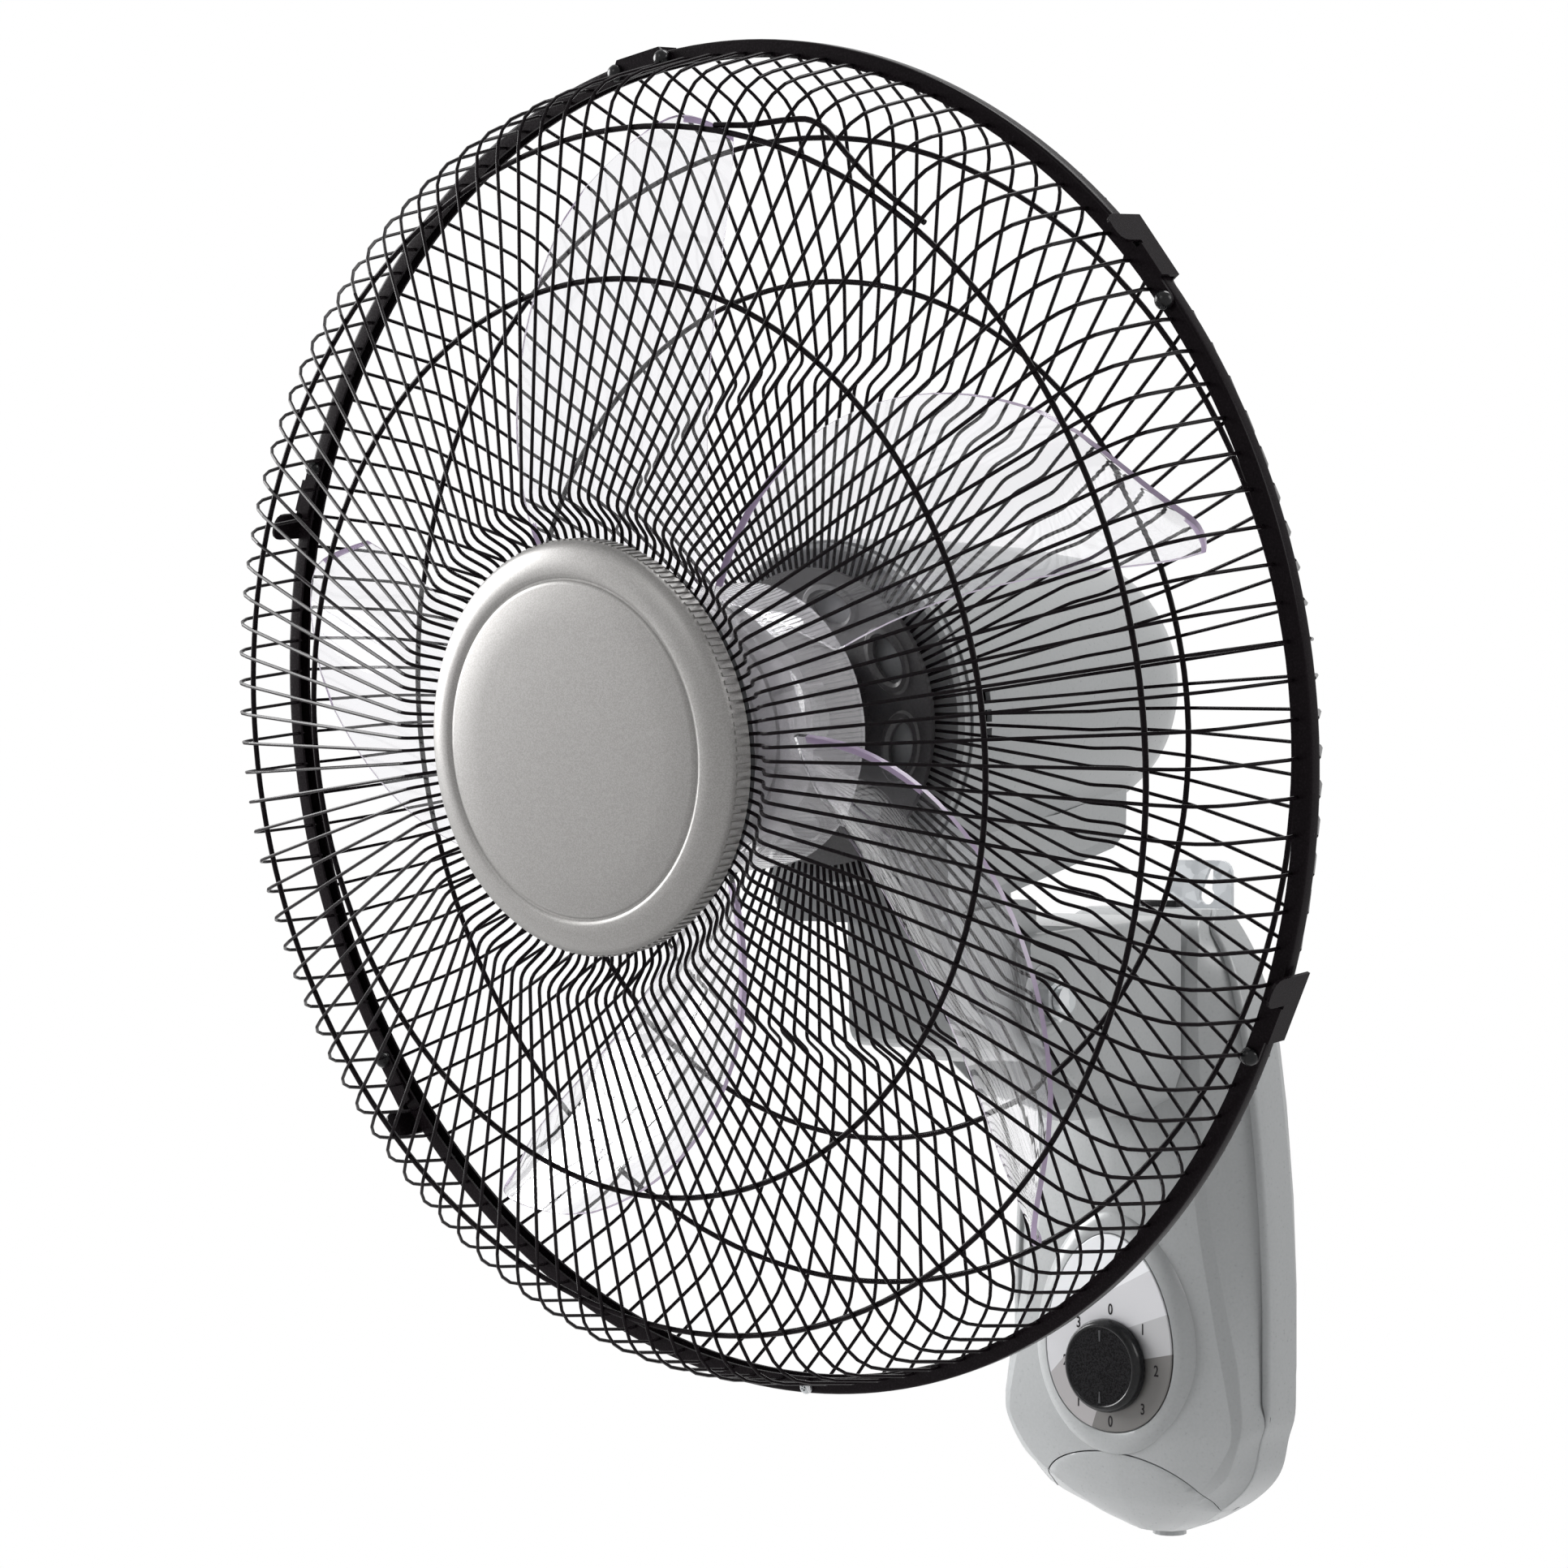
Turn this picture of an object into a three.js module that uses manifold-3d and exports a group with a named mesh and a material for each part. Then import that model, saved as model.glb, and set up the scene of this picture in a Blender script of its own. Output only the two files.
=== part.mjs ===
// Wall mounted fan. Millimetres, +Z up, the front faces -Y.
// The origin is the middle of the wall plate's back, on the wall.
import * as THREE from 'three';
import { mergeVertices } from 'three/addons/utils/BufferGeometryUtils.js';
import Module from 'manifold-3d';

const wasm = await Module();
wasm.setup();

// ---------------------------------------------------------------- sizes
const gap = 0.3;                     // running clearance between two pieces
const seat = 0.3;                    // clearance where one piece sits on another
const wall = 2.4;                    // plastic wall

// head
const headTilt = THREE.MathUtils.degToRad(5.87);
const headY = -268;                  // rim plane centre, from the wall
const headZ = 185;                   // rim plane centre, above the wall plate's middle

// rim band: a channel that is open towards the middle
const rimR = 225;
const rimDepth = 5.6;                // radial depth of its lips
const rimSheet = 0.9;
const ringThick = 1.8;               // end rings of the guard halves, along the axis
const rimWidth = 2 * rimSheet + 2 * ringThick + 3 * gap;

// guard wires
const wireCount = 40;                // every third wire of the real guard
const wire = 1.4;                    // wire thickness
const hoop = 2.0;                    // cross ring thickness
const wireClear = 1.5;               // from the band's lips in to the wires
const bladeRoom = rimR - rimDepth - wireClear;       // radius of the wires beside the rim band
const shoulderR = bladeRoom - 21;
const shoulderD = 43.8;
const faceR = 80.5;                  // where the face wires step back to the badge
const faceD = 78.5;
const badgeR = 66.5;
const hubRingR = badgeR - 3;         // front guard's inner end ring
const hubRingW = 3.5;
const innerHoopR = 148;
const stepR = 122;                   // rear wires step back here
const stepRun = 7;
const stepD = -52.5;
const rearInnerD = -43.5;
const rearShoulderR = bladeRoom - 23;
const rearShoulderD = -41;

// badge
const badgeFrontD = 78;
const badgeRearD = 68.5;
const badgeSheet = 2;

// guard centre plate, and the motor boss that carries it
const plateR = 51;
const plateD = -39.7;
const plateSheet = 1.4;
const plateBore = 12.5;
const plateWindows = 8;
const plateTurn = 16;                // degrees clockwise from the top to the first window
const windowIn = 12.7;               // from the plate's edge to the windows' middles
const windowWide = 12;
const windowLong = 18.6;
const bossR = 11.5;
const bossFrontD = -27;
const nutR = 25;
const nutThick = 8;

// motor
const motorFrontD = plateD - plateSheet - 2 * seat - ringThick;
const motorR = 60;
const motorRearR = 48;
const motorSplitD = -50;
const motorTaperD = -180;
const motorEndD = -205;
const shaftR = 4;
const rotorR = 24;
const airGap = 0.6;
const statorR = 44;
const stackFront = -66;
const stackRear = -98;
const coilOut = 12;
const windowHalf = 33;               // the rear shell is open below, where the lower cover closes it
const windowFrontY = 62;
const windowRearY = 167;
const windowTopZ = -36;
const coverFrontY = 56;
const coverRearY = 172;
const coverTopZ = -20;
const coverFrontZ = -73;
const coverRearZ = -60;
const swivelR = 22;                  // the cover's round foot, which turns on the neck
const bearingR = 11;
const bearingLong = 6;

// impeller
const hubR = 48;
const hubFrontD = 26;
const hubRearD = -8;
const hubSheet = 2;
const bladeCount = 5;
const bladeTipR = bladeRoom - 17;
const bladeTurn = 2.4;               // degrees clockwise from the top to the first tip
const bladeSheet = 1.8;
const spinnerR = 15;
const spinnerLong = 14;

// latches, and the fixed clip at the top
const latchAngles = [55.5, 117, 237, 296];   // degrees clockwise from the top
const clipAngle = 354;
const clipHalf = 10.7;               // from the clip's middle to each of its rivets
const screwAngle = 177.3;
const latchSheet = 1.0;
const latchArm = 6.4;                // from the rivet to the channel that grips the band
const latchLong = 18.5;              // from the rivet to the channel's end
const rivetHeadR = 2.9;
const rivetR = 1.5;
const tabWide = 10;
const tabReach = 9;
const tabNotch = 1.2;

// neck and tilt pivot
const pivotY = -139;
const pivotZ = 90;
const noseHalf = 30;
const earWall = 5.4;
const noseFront = -148;
const noseTop = 113;
const noseSide = 60;                 // where the flat sides end
const noseKeel = 41.5;
const washerThick = 0.8;
const lugHalf = noseHalf - earWall - washerThick - 2 * gap;
const lugR = 24;
const boltR = 5;
const boltHeadR = 8;
const neckFront = -187;
const neckRear = -136;
const neckTop = 117.6;
const neckBottom = 73;
const pinY = 105;                    // oscillation axis, behind the rim plane along the head
const pinR = 7;

// base
const baseHalf = 59.4;
const baseTop = 119;
const baseBottom = -117;
const baseFront = -60;
const splitY = -25;                  // joint between the front housing and the back cover
const flangeFront = -43;             // front of the raised edge that runs round the housing
const backInset = 14;
const lowerHalf = 38;                // lower cover's oval
const lowerUp = 19.5;
const lowerZ = -104;
const wallSheet = 1.6;
const plateHalf = 30;
const plateLow = -88;
const plateHigh = 86;
const inletY = splitY + 3;           // cord inlet, on the joint between the two housings
const inletR = 6.5;
const inletBore = 3.2;
const tabHalf = 14.5;
const tabTop = 136.6;

// dial and knob
const dialZ = -51.6;                 // knob axis
const dialHalf = 29;
const dialUp = 49;
const dialDown = 25;
const dialSheet = 1.2;
const knobR = 18;
const knobThick = 8;
const knobShaftR = 3;

// ---------------------------------------------------------------- helpers
// Merges the vertices, drops empty triangles and turns the faces outwards.
function closed(geometry) {
  let g = geometry.index ? geometry : geometry.clone();
  g.deleteAttribute('normal');
  g.deleteAttribute('uv');
  g = mergeVertices(g, 1e-4);
  const p = g.attributes.position;
  const src = g.index.array;
  const keep = [];
  let volume = 0;
  const a = new THREE.Vector3();
  const b = new THREE.Vector3();
  const c = new THREE.Vector3();
  for (let i = 0; i < src.length; i += 3) {
    const [u, v, w] = [src[i], src[i + 1], src[i + 2]];
    if (u === v || v === w || w === u) continue;
    keep.push(u, v, w);
    a.fromBufferAttribute(p, u);
    b.fromBufferAttribute(p, v);
    c.fromBufferAttribute(p, w);
    volume += a.dot(b.cross(c));
  }
  if (volume < 0) {
    for (let i = 0; i < keep.length; i += 3) [keep[i], keep[i + 1]] = [keep[i + 1], keep[i]];
  }
  g.setIndex(keep);
  return g;
}

function toSolid(geometry) {
  const g = closed(geometry);
  return new wasm.Manifold(new wasm.Mesh({
    numProp: 3,
    vertProperties: new Float32Array(g.attributes.position.array),
    triVerts: new Uint32Array(g.index.array),
  }));
}

function fromSolid(solid) {
  const m = solid.getMesh();
  const g = new THREE.BufferGeometry();
  g.setAttribute('position', new THREE.Float32BufferAttribute(m.vertProperties, 3));
  g.setIndex([...m.triVerts]);
  return g;
}

function join(...parts) {
  return fromSolid(parts.map(toSolid).reduce((a, b) => a.add(b)));
}

function cut(part, ...tools) {
  return fromSolid(tools.map(toSolid).reduce((a, b) => a.subtract(b), toSolid(part)));
}

// A turned solid about the Y axis; the profile is [radius, y] and closes on itself or on the axis.
function turned(profile, segments = 24, phase = 0) {
  const onAxis = profile[0][0] === 0 && profile[profile.length - 1][0] === 0;
  const ring = onAxis ? profile : [...profile, profile[0]];
  const points = ring.map(([r, y]) => new THREE.Vector2(r, y));
  return closed(new THREE.LatheGeometry(points, segments, phase));
}

// The same along the head axis: the profile is [radius, depth], depth counted forwards.
function alongHead(profile, segments, phase) {
  return turned(profile.map(([r, d]) => [r, -d]), segments, phase);
}

function tube(rIn, rOut, d0, d1, segments) {
  return alongHead([[rIn, d0], [rOut, d0], [rOut, d1], [rIn, d1]], segments);
}

function box(x0, x1, y0, y1, z0, z1) {
  const g = new THREE.BoxGeometry(x1 - x0, y1 - y0, z1 - z0);
  g.translate((x0 + x1) / 2, (y0 + y1) / 2, (z0 + z1) / 2);
  return g;
}

// A flat shape in X and Z, thickened from y0 forwards to y1.
function slab(shape, y0, y1, curveSegments = 8) {
  const g = new THREE.ExtrudeGeometry(shape, {
    depth: Math.abs(y1 - y0), bevelEnabled: false, curveSegments,
  });
  g.rotateX(Math.PI / 2);
  g.translate(0, Math.max(y0, y1), 0);
  return closed(g);
}

// A cylinder along X.
function barX(r, x0, x1, y, z, segments = 20) {
  const g = new THREE.CylinderGeometry(r, r, x1 - x0, segments);
  g.rotateZ(Math.PI / 2);
  g.translate((x0 + x1) / 2, y, z);
  return g;
}

// A cylinder along Y.
function barY(r, y0, y1, x, z, segments = 20) {
  const g = new THREE.CylinderGeometry(r, r, Math.abs(y1 - y0), segments);
  g.translate(x, (y0 + y1) / 2, z);
  return g;
}

// A cylinder along Z.
function barZ(r, z0, z1, x, y, segments = 20) {
  const g = new THREE.CylinderGeometry(r, r, z1 - z0, segments);
  g.rotateX(Math.PI / 2);
  g.translate(x, y, (z0 + z1) / 2);
  return g;
}

// A solid through rings with equal numbers of points, capped by a point in each end's middle.
function loft(rings) {
  const n = rings[0].length;
  const pos = rings.flat();
  const mid = (ring) => [0, 1, 2].map((k) => ring.reduce((s, p) => s + p[k], 0) / n);
  pos.push(mid(rings[0]), mid(rings[rings.length - 1]));
  const first = rings.length * n;
  const index = [];
  for (let k = 0; k + 1 < rings.length; k++) {
    for (let i = 0; i < n; i++) {
      const j = (i + 1) % n;
      const [a, b, c, d] = [k * n + i, k * n + j, (k + 1) * n + j, (k + 1) * n + i];
      index.push(a, b, c, a, c, d);
    }
  }
  const last = (rings.length - 1) * n;
  for (let i = 0; i < n; i++) {
    const j = (i + 1) % n;
    index.push(first, j, i);
    index.push(first + 1, last + i, last + j);
  }
  const g = new THREE.BufferGeometry();
  g.setAttribute('position', new THREE.Float32BufferAttribute(pos.flat(), 3));
  g.setIndex(index);
  return closed(g);
}

const fan = new THREE.Group();
const head = new THREE.Group();
head.rotation.x = headTilt;
head.position.set(0, headY, headZ);
fan.add(head);

function add(group, name, geometry, material) {
  const mesh = new THREE.Mesh(closed(geometry), material.clone());
  mesh.name = name;
  group.add(mesh);
  return mesh;
}

const paint = (color, roughness, metalness) =>
  new THREE.MeshStandardMaterial({ color, roughness, metalness });
const grey = paint(0xa7a9aa, 0.5, 0.0);
const black = paint(0x1b1a1c, 0.4, 0.2);
const silver = paint(0x9a9a9a, 0.45, 0.4);
const steel = paint(0xb4b7ba, 0.35, 0.9);
const iron = paint(0x4a4d50, 0.5, 0.6);
const dark = paint(0x3c3d40, 0.5, 0.0);
const blackPlastic = paint(0x19191b, 0.6, 0.0);
const copper = paint(0xa8623a, 0.4, 0.8);
const rubber = paint(0x202124, 0.8, 0.0);
const clear = new THREE.MeshStandardMaterial({
  color: 0xdfe4ea, roughness: 0.1, metalness: 0.0, transparent: true, opacity: 0.35,
});
const whiteNylon = paint(0xe6e4dc, 0.5, 0.0);

// ---------------------------------------------------------------- wire guards
// Each wire has sections [outer r, outer d, inner r, inner d]. The end rings are cut into a
// narrow step at each wire and a wide step between two, and the wires grow out of the narrow ones.
function wireHalf(hub, sections, rim) {
  const pos = [];
  const index = [];
  const half = wire / 2;
  const put = (r, d, turn) => {
    pos.push(r * Math.sin(turn), -d, r * Math.cos(turn));
    return pos.length / 3 - 1;
  };
  const quad = (a, b, c, d) => index.push(a, b, c, a, c, d);
  const at = (k, side, r) => (k * 2 * Math.PI) / wireCount + (side * half) / r;
  // corner order: wire side outer face, wire side inner face, far side inner, far side outer
  const ringCorners = (ring, k, side) => [
    put(ring.rWire, ring.dOut, at(k, side, ring.rWire)),
    put(ring.rWire, ring.dIn, at(k, side, ring.rWire)),
    put(ring.rFar, ring.dIn, at(k, side, ring.rWire)),
    put(ring.rFar, ring.dOut, at(k, side, ring.rWire)),
  ];
  const corners = (ring) => Array.from({ length: wireCount }, (_, k) =>
    [ringCorners(ring, k, -1), ringCorners(ring, k, 1)]);
  const walls = (from, to, sides) => {
    for (const s of sides) quad(from[s], from[(s + 1) % 4], to[(s + 1) % 4], to[s]);
  };
  const hubC = corners(hub);
  const rimC = corners(rim);
  for (let k = 0; k < wireCount; k++) {
    const next = (k + 1) % wireCount;
    walls(hubC[k][0], hubC[k][1], [1, 2, 3]);
    walls(hubC[k][1], hubC[next][0], [0, 1, 2, 3]);
    walls(rimC[k][1], rimC[k][0], [1, 2, 3]);
    walls(rimC[next][0], rimC[k][1], [0, 1, 2, 3]);
    const loops = sections.map(([ro, d0, ri, d1]) => [
      put(ro, d0, at(k, -1, ro)), put(ri, d1, at(k, -1, ri)),
      put(ri, d1, at(k, 1, ri)), put(ro, d0, at(k, 1, ro)),
    ]);
    loops.unshift([hubC[k][0][0], hubC[k][0][1], hubC[k][1][1], hubC[k][1][0]]);
    loops.push([rimC[k][0][0], rimC[k][0][1], rimC[k][1][1], rimC[k][1][0]]);
    for (let s = 0; s + 1 < loops.length; s++) {
      for (let i = 0; i < 4; i++) {
        quad(loops[s][i], loops[s][(i + 1) % 4], loops[s + 1][(i + 1) % 4], loops[s + 1][i]);
      }
    }
  }
  const g = new THREE.BufferGeometry();
  g.setAttribute('position', new THREE.Float32BufferAttribute(pos, 3));
  g.setIndex(index);
  return closed(g);
}

// Sections across a path [r, d]: outside is to the left of the way outwards (forwards on the front).
function across(path, before, outside) {
  return path.map(([r, d], i) => {
    const [r0, d0] = i === 0 ? before : path[i - 1];
    const [r1, d1] = i === path.length - 1 ? [r, d] : path[i + 1];
    const dir = new THREE.Vector2(r1 - r0, d1 - d0).normalize();
    const n = new THREE.Vector2(-dir.y, dir.x).multiplyScalar((outside * wire) / 2);
    return [r + n.x, d + n.y, r - n.x, d - n.y];
  });
}

const lipInner = rimR - rimDepth;
const ringOuter = rimR - rimSheet - gap;
const ringInner = ringOuter - 3.6;
const frontRingD = [-rimSheet - gap, -rimSheet - gap - ringThick];
const rearRingD = [frontRingD[1] - gap - ringThick, frontRingD[1] - gap];
const hubTopD = badgeRearD - gap;
const hubBackD = hubTopD - 2;
const frontPath = [[faceR, faceD], [shoulderR, shoulderD],
  [(shoulderR + bladeRoom) / 2 + 3.5, 31], [bladeRoom, 2]];
const frontSections = [
  [badgeR + 3, hubTopD, badgeR + 3.6, hubTopD - wire],
  ...across(frontPath, [badgeR + 3, hubTopD], 1),
  [lipInner - gap - 0.2, frontRingD[0], bladeRoom - wire / 2, frontRingD[1]],
];
add(head, 'front_guard', wireHalf(
  { rWire: hubRingR, rFar: hubRingR - hubRingW, dOut: hubTopD, dIn: hubBackD },
  frontSections,
  { rWire: ringInner, rFar: ringOuter, dOut: frontRingD[0], dIn: frontRingD[1] },
), black);

const rearHubD = plateD - plateSheet - seat;
const rearPath = [[stepR - stepRun, rearInnerD], [stepR, stepD], [rearShoulderR, rearShoulderD],
  [(rearShoulderR + bladeRoom) / 2 + 6, -21], [bladeRoom, -rimWidth - 1.5]];
const rearSections = [
  ...across(rearPath, [plateR + 1, rearHubD], -1),
  [lipInner - gap - 0.2, rearRingD[0], bladeRoom - wire / 2, rearRingD[1]],
];
add(head, 'rear_guard', wireHalf(
  { rWire: plateR + 1, rFar: plateR - 2, dOut: rearHubD - ringThick, dIn: rearHubD },
  rearSections,
  { rWire: ringInner, rFar: ringOuter, dOut: rearRingD[0], dIn: rearRingD[1] },
), black);

// A cross ring under the wires, centred on a wire path point and moved to its inner side.
function crossRing(r, d) {
  const h = hoop / 2;
  return alongHead([[r - h, d], [r, d - h], [r + h, d], [r, d + h]], wireCount);
}

// The point on a path at a radius, moved square to the path by a distance.
function besidePath(path, r, distance) {
  for (let i = 0; i + 1 < path.length; i++) {
    const [r0, d0] = path[i];
    const [r1, d1] = path[i + 1];
    if (r >= r0 && r <= r1) {
      const t = (r - r0) / (r1 - r0);
      const run = Math.hypot(r1 - r0, d1 - d0);
      return [r + (distance * (d1 - d0)) / run, d0 + t * (d1 - d0) - (distance * (r1 - r0)) / run];
    }
  }
  return path[path.length - 1];
}
const under = wire / 2 + seat + hoop * 0.5;
const hoops = {
  front_ring_inner: besidePath(frontPath, innerHoopR, under),
  front_ring_outer: besidePath(frontPath, shoulderR - 1, under),
  rear_ring_inner: besidePath(rearPath, innerHoopR - 1, -under),
  rear_ring_outer: besidePath(rearPath, rearShoulderR - 1, -under),
};
for (const [name, [r, d]] of Object.entries(hoops)) add(head, name, crossRing(r, d), black);

add(head, 'rim_band', alongHead([
  [lipInner, 0], [rimR, 0], [rimR, -rimWidth], [lipInner, -rimWidth],
  [lipInner, -rimWidth + rimSheet], [rimR - rimSheet, -rimWidth + rimSheet],
  [rimR - rimSheet, -rimSheet], [lipInner, -rimSheet],
], wireCount), black);

// ---------------------------------------------------------------- badge
const discR = badgeR - 12;
const badgeProfile = [
  [0, badgeFrontD + 4], [discR, badgeFrontD + 3.2], [discR + 1.2, badgeFrontD + 2.2],
  [badgeR - 1.8, badgeFrontD], [badgeR, badgeFrontD - 1.6], [badgeR, badgeRearD],
  [badgeR - badgeSheet, badgeRearD], [badgeR - badgeSheet, badgeFrontD - badgeSheet - 1.2],
  [discR, badgeFrontD + 3.2 - badgeSheet - 1.2], [0, badgeFrontD + 4 - badgeSheet],
];
add(head, 'badge', alongHead(badgeProfile, 36), silver);
const backingR = hubRingR + 1;
const backingD = hubBackD - seat;
add(head, 'badge_backing', alongHead([
  [0, backingD], [backingR, backingD], [backingR, backingD - 1.5], [0, backingD - 1.5],
], 28), dark);

// ---------------------------------------------------------------- guard centre plate and lock nut
function plate() {
  const windowR = plateR - windowIn;
  const holes = Array.from({ length: plateWindows }, (_, k) => {
    const turn = THREE.MathUtils.degToRad(plateTurn + (k * 360) / plateWindows);
    const g = new THREE.CylinderGeometry(windowWide / 2, windowWide / 2, plateSheet * 4, 10);
    g.scale(windowLong / windowWide, 1, 1);
    g.rotateY(turn);
    g.translate(windowR * Math.sin(turn), -plateD + plateSheet / 2, windowR * Math.cos(turn));
    return g;
  });
  return cut(tube(plateBore, plateR, plateD, plateD - plateSheet, 32), ...holes);
}
add(head, 'guard_plate', plate(), black);
add(head, 'guard_lock_nut',
  tube(bossR + gap, nutR, plateD + seat, plateD + seat + nutThick, 20), dark);

// ---------------------------------------------------------------- motor
const bearingSeat = motorFrontD - wall;
const skirtR = statorR + seat;       // the end shields hold the stator between them
const skirtWall = 2;
const skirtSplitD = (stackFront + stackRear) / 2;
add(head, 'motor_front_housing', alongHead([
  [bearingR - 4, bossFrontD], [bossR, bossFrontD], [bossR, motorFrontD], [motorR - 6, motorFrontD],
  [motorR - 1, motorFrontD - 3], [motorR - 1, motorSplitD + gap], [skirtR + skirtWall, motorSplitD + gap],
  [skirtR + skirtWall, skirtSplitD + gap], [skirtR, skirtSplitD + gap], [skirtR, motorSplitD + gap],
  [bearingR + gap, motorSplitD + gap], [bearingR + gap, bearingSeat], [bearingR - 4, bearingSeat],
], 28), grey);

// The tapering rear shell, and the same outline grown by a margin for cutting its neighbours.
function shellProfile(margin) {
  return [
    [motorR + margin, motorSplitD + margin], [motorR - 1 + margin, motorSplitD - 20],
    [(motorR + motorRearR) / 2 + 1 + margin, (motorSplitD + motorTaperD) / 2 - 10],
    [motorRearR + margin, motorTaperD], [motorRearR * 0.8 + margin, motorEndD + 7.5 - margin],
    [motorRearR * 0.5 + margin, motorEndD + 1.5 - margin], [0, motorEndD - margin],
  ];
}
const shellOuter = shellProfile(0);
const shellInner = shellProfile(-wall).reverse();
shellInner[shellInner.length - 1] = [motorR - wall, motorSplitD];
add(head, 'motor_rear_housing', cut(alongHead([...shellInner, ...shellOuter], 28),
  box(-windowHalf, windowHalf, windowFrontY, windowRearY, coverFrontZ - 7, windowTopZ)), grey);

function coverSection(y, width, bottomZ, inset) {
  const chamfer = motorR / 10;
  const topHalf = motorR * width;
  const bottomHalf = topHalf - chamfer / 2;
  const topZ = coverTopZ;
  const t = topHalf - inset;
  const b = bottomHalf - inset;
  const z = bottomZ + inset;
  return [[t, y, topZ], [b, y, z + chamfer], [b - chamfer, y, z], [-b + chamfer, y, z],
    [-b, y, z + chamfer], [-t, y, topZ]];
}
function coverLoft(inset) {
  return loft([
    coverSection(coverFrontY + inset, 0.7, coverFrontZ, inset),
    coverSection((coverFrontY + coverRearY) / 2, 0.63, (coverFrontZ + coverRearZ) / 2, inset),
    coverSection(coverRearY - inset, 0.55, coverRearZ, inset),
  ]);
}
const pinHole = barZ(pinR + gap, coverFrontZ * 1.2, coverTopZ, 0, pinY, 20);
const swivelFoot = barZ(swivelR, coverFrontZ, coverRearZ - wall - 3, 0, pinY, 24);
add(head, 'motor_lower_cover', cut(join(coverLoft(0), swivelFoot), coverLoft(wall),
  alongHead([[0, motorSplitD + 9], ...shellProfile(seat).map(([r, d], i) => (
    i === 0 ? [r, motorSplitD + 9] : [r, d]))], 28), pinHole), grey);

add(head, 'stator_core', tube(rotorR + airGap, statorR, stackFront, stackRear, 24), iron);
add(head, 'stator_winding_front',
  tube(rotorR + 4, statorR - 5, stackFront + gap, stackFront + coilOut, 20), copper);
add(head, 'stator_winding_rear',
  tube(rotorR + 4, statorR - 5, stackRear - gap, stackRear - coilOut, 20), copper);
const frontBearingD = bearingSeat - seat;
add(head, 'front_bearing',
  tube(shaftR + gap, bearingR, frontBearingD, frontBearingD - bearingLong, 14), steel);
const rearBearingD = stackRear - coilOut - 8;
add(head, 'rear_bearing',
  tube(shaftR + gap, bearingR, rearBearingD, rearBearingD - bearingLong, 14), steel);

// gearbox on the rear end shield, with the worm wheel under the shaft and the crank below it
const gearR = 12;
const gearHalf = 4;
const gearX = -(gearR + shaftR + gap);
const gearY = 150;
const crankR = 10.3;                 // from the wheel's axis to the crank pin
const crankPinR = 2;
const armX = -16;                    // the link's fixed end, beside the oscillation pin
const linkZ = -49;
const linkThick = 2;
const linkHalf = 4.5;
const gearPostR = 4;
const caseLong = 50;
const caseRight = 16;
const caseBottom = -24;
const caseTop = 16;
const caseFrontY = -rearBearingD - 1;
const caseRearY = caseFrontY + caseLong;
const caseLeft = gearX - gearR - wall - 1;
add(head, 'gearbox_case', cut(join(
  box(caseLeft, caseRight, caseFrontY, caseRearY, caseBottom, caseTop),
  turned([[bearingR + 2, caseFrontY], [bearingR + 2, caseFrontY + skirtWall],
    [skirtR + skirtWall, caseFrontY + skirtWall], [skirtR + skirtWall, -skirtSplitD],
    [skirtR, -skirtSplitD], [skirtR, caseFrontY]], 24)),
  box(caseLeft + wall, caseRight - wall, caseFrontY + wall + bearingLong, caseRearY - wall,
    caseBottom - 1, caseTop - wall),
  barY(bearingR + gap, caseFrontY - 1, caseFrontY + bearingLong + 1.6, 0, 0, 14),
  barY(shaftR + gap, caseFrontY, gearY, 0, 0, 16)), whiteNylon);
const crankX = gearX + crankR;
add(head, 'worm_gear', join(
  barZ(gearR, -gearHalf, gearHalf, gearX, gearY, 20),
  barZ(gearPostR, linkZ + gap, gearHalf, gearX, gearY, 10),
  barZ(crankR + crankPinR, linkZ + gap, linkZ + 3, gearX, gearY, 16),
  barZ(crankPinR, linkZ - linkThick - 1, linkZ + 2, crankX, gearY, 10)), whiteNylon);

function linkShape() {
  const s = new THREE.Shape();
  const dir = Math.atan2(pinY - gearY, armX - crankX);
  s.absarc(crankX, gearY, linkHalf, dir + Math.PI / 2, dir - Math.PI / 2, false);
  s.absarc(armX, pinY, linkHalf, dir - Math.PI / 2, dir + Math.PI / 2, false);
  s.closePath();
  for (const [x, y] of [[crankX, gearY], [armX, pinY]]) {
    const hole = new THREE.Path();
    hole.absarc(x, y, crankPinR + gap, 0, 2 * Math.PI, true);
    s.holes.push(hole);
  }
  return s;
}
function link() {
  const g = new THREE.ExtrudeGeometry(linkShape(), {
    depth: linkThick, bevelEnabled: false, curveSegments: 5,
  });
  g.translate(0, 0, linkZ - linkThick);
  return g;
}
add(head, 'oscillation_link', link(), steel);

// ---------------------------------------------------------------- rotor and impeller
add(head, 'rotor_core', tube(shaftR + gap, rotorR, stackFront + 2, stackRear - 2, 20), iron);
const pinD = hubRearD - 2;
const drivePinR = 1.2;
const shaftFront = hubFrontD + spinnerLong - 4;
const shaftRear = -(caseRearY - wall - gap);
add(head, 'motor_shaft', cut(alongHead([
  [0, shaftFront], [shaftR, shaftFront], [shaftR, shaftRear], [0, shaftRear],
], 16), barX(drivePinR + gap, -8, 8, -pinD, 0, 10)), steel);
add(head, 'drive_pin', barX(drivePinR, -10, 10, -pinD, 0, 10), steel);

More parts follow.
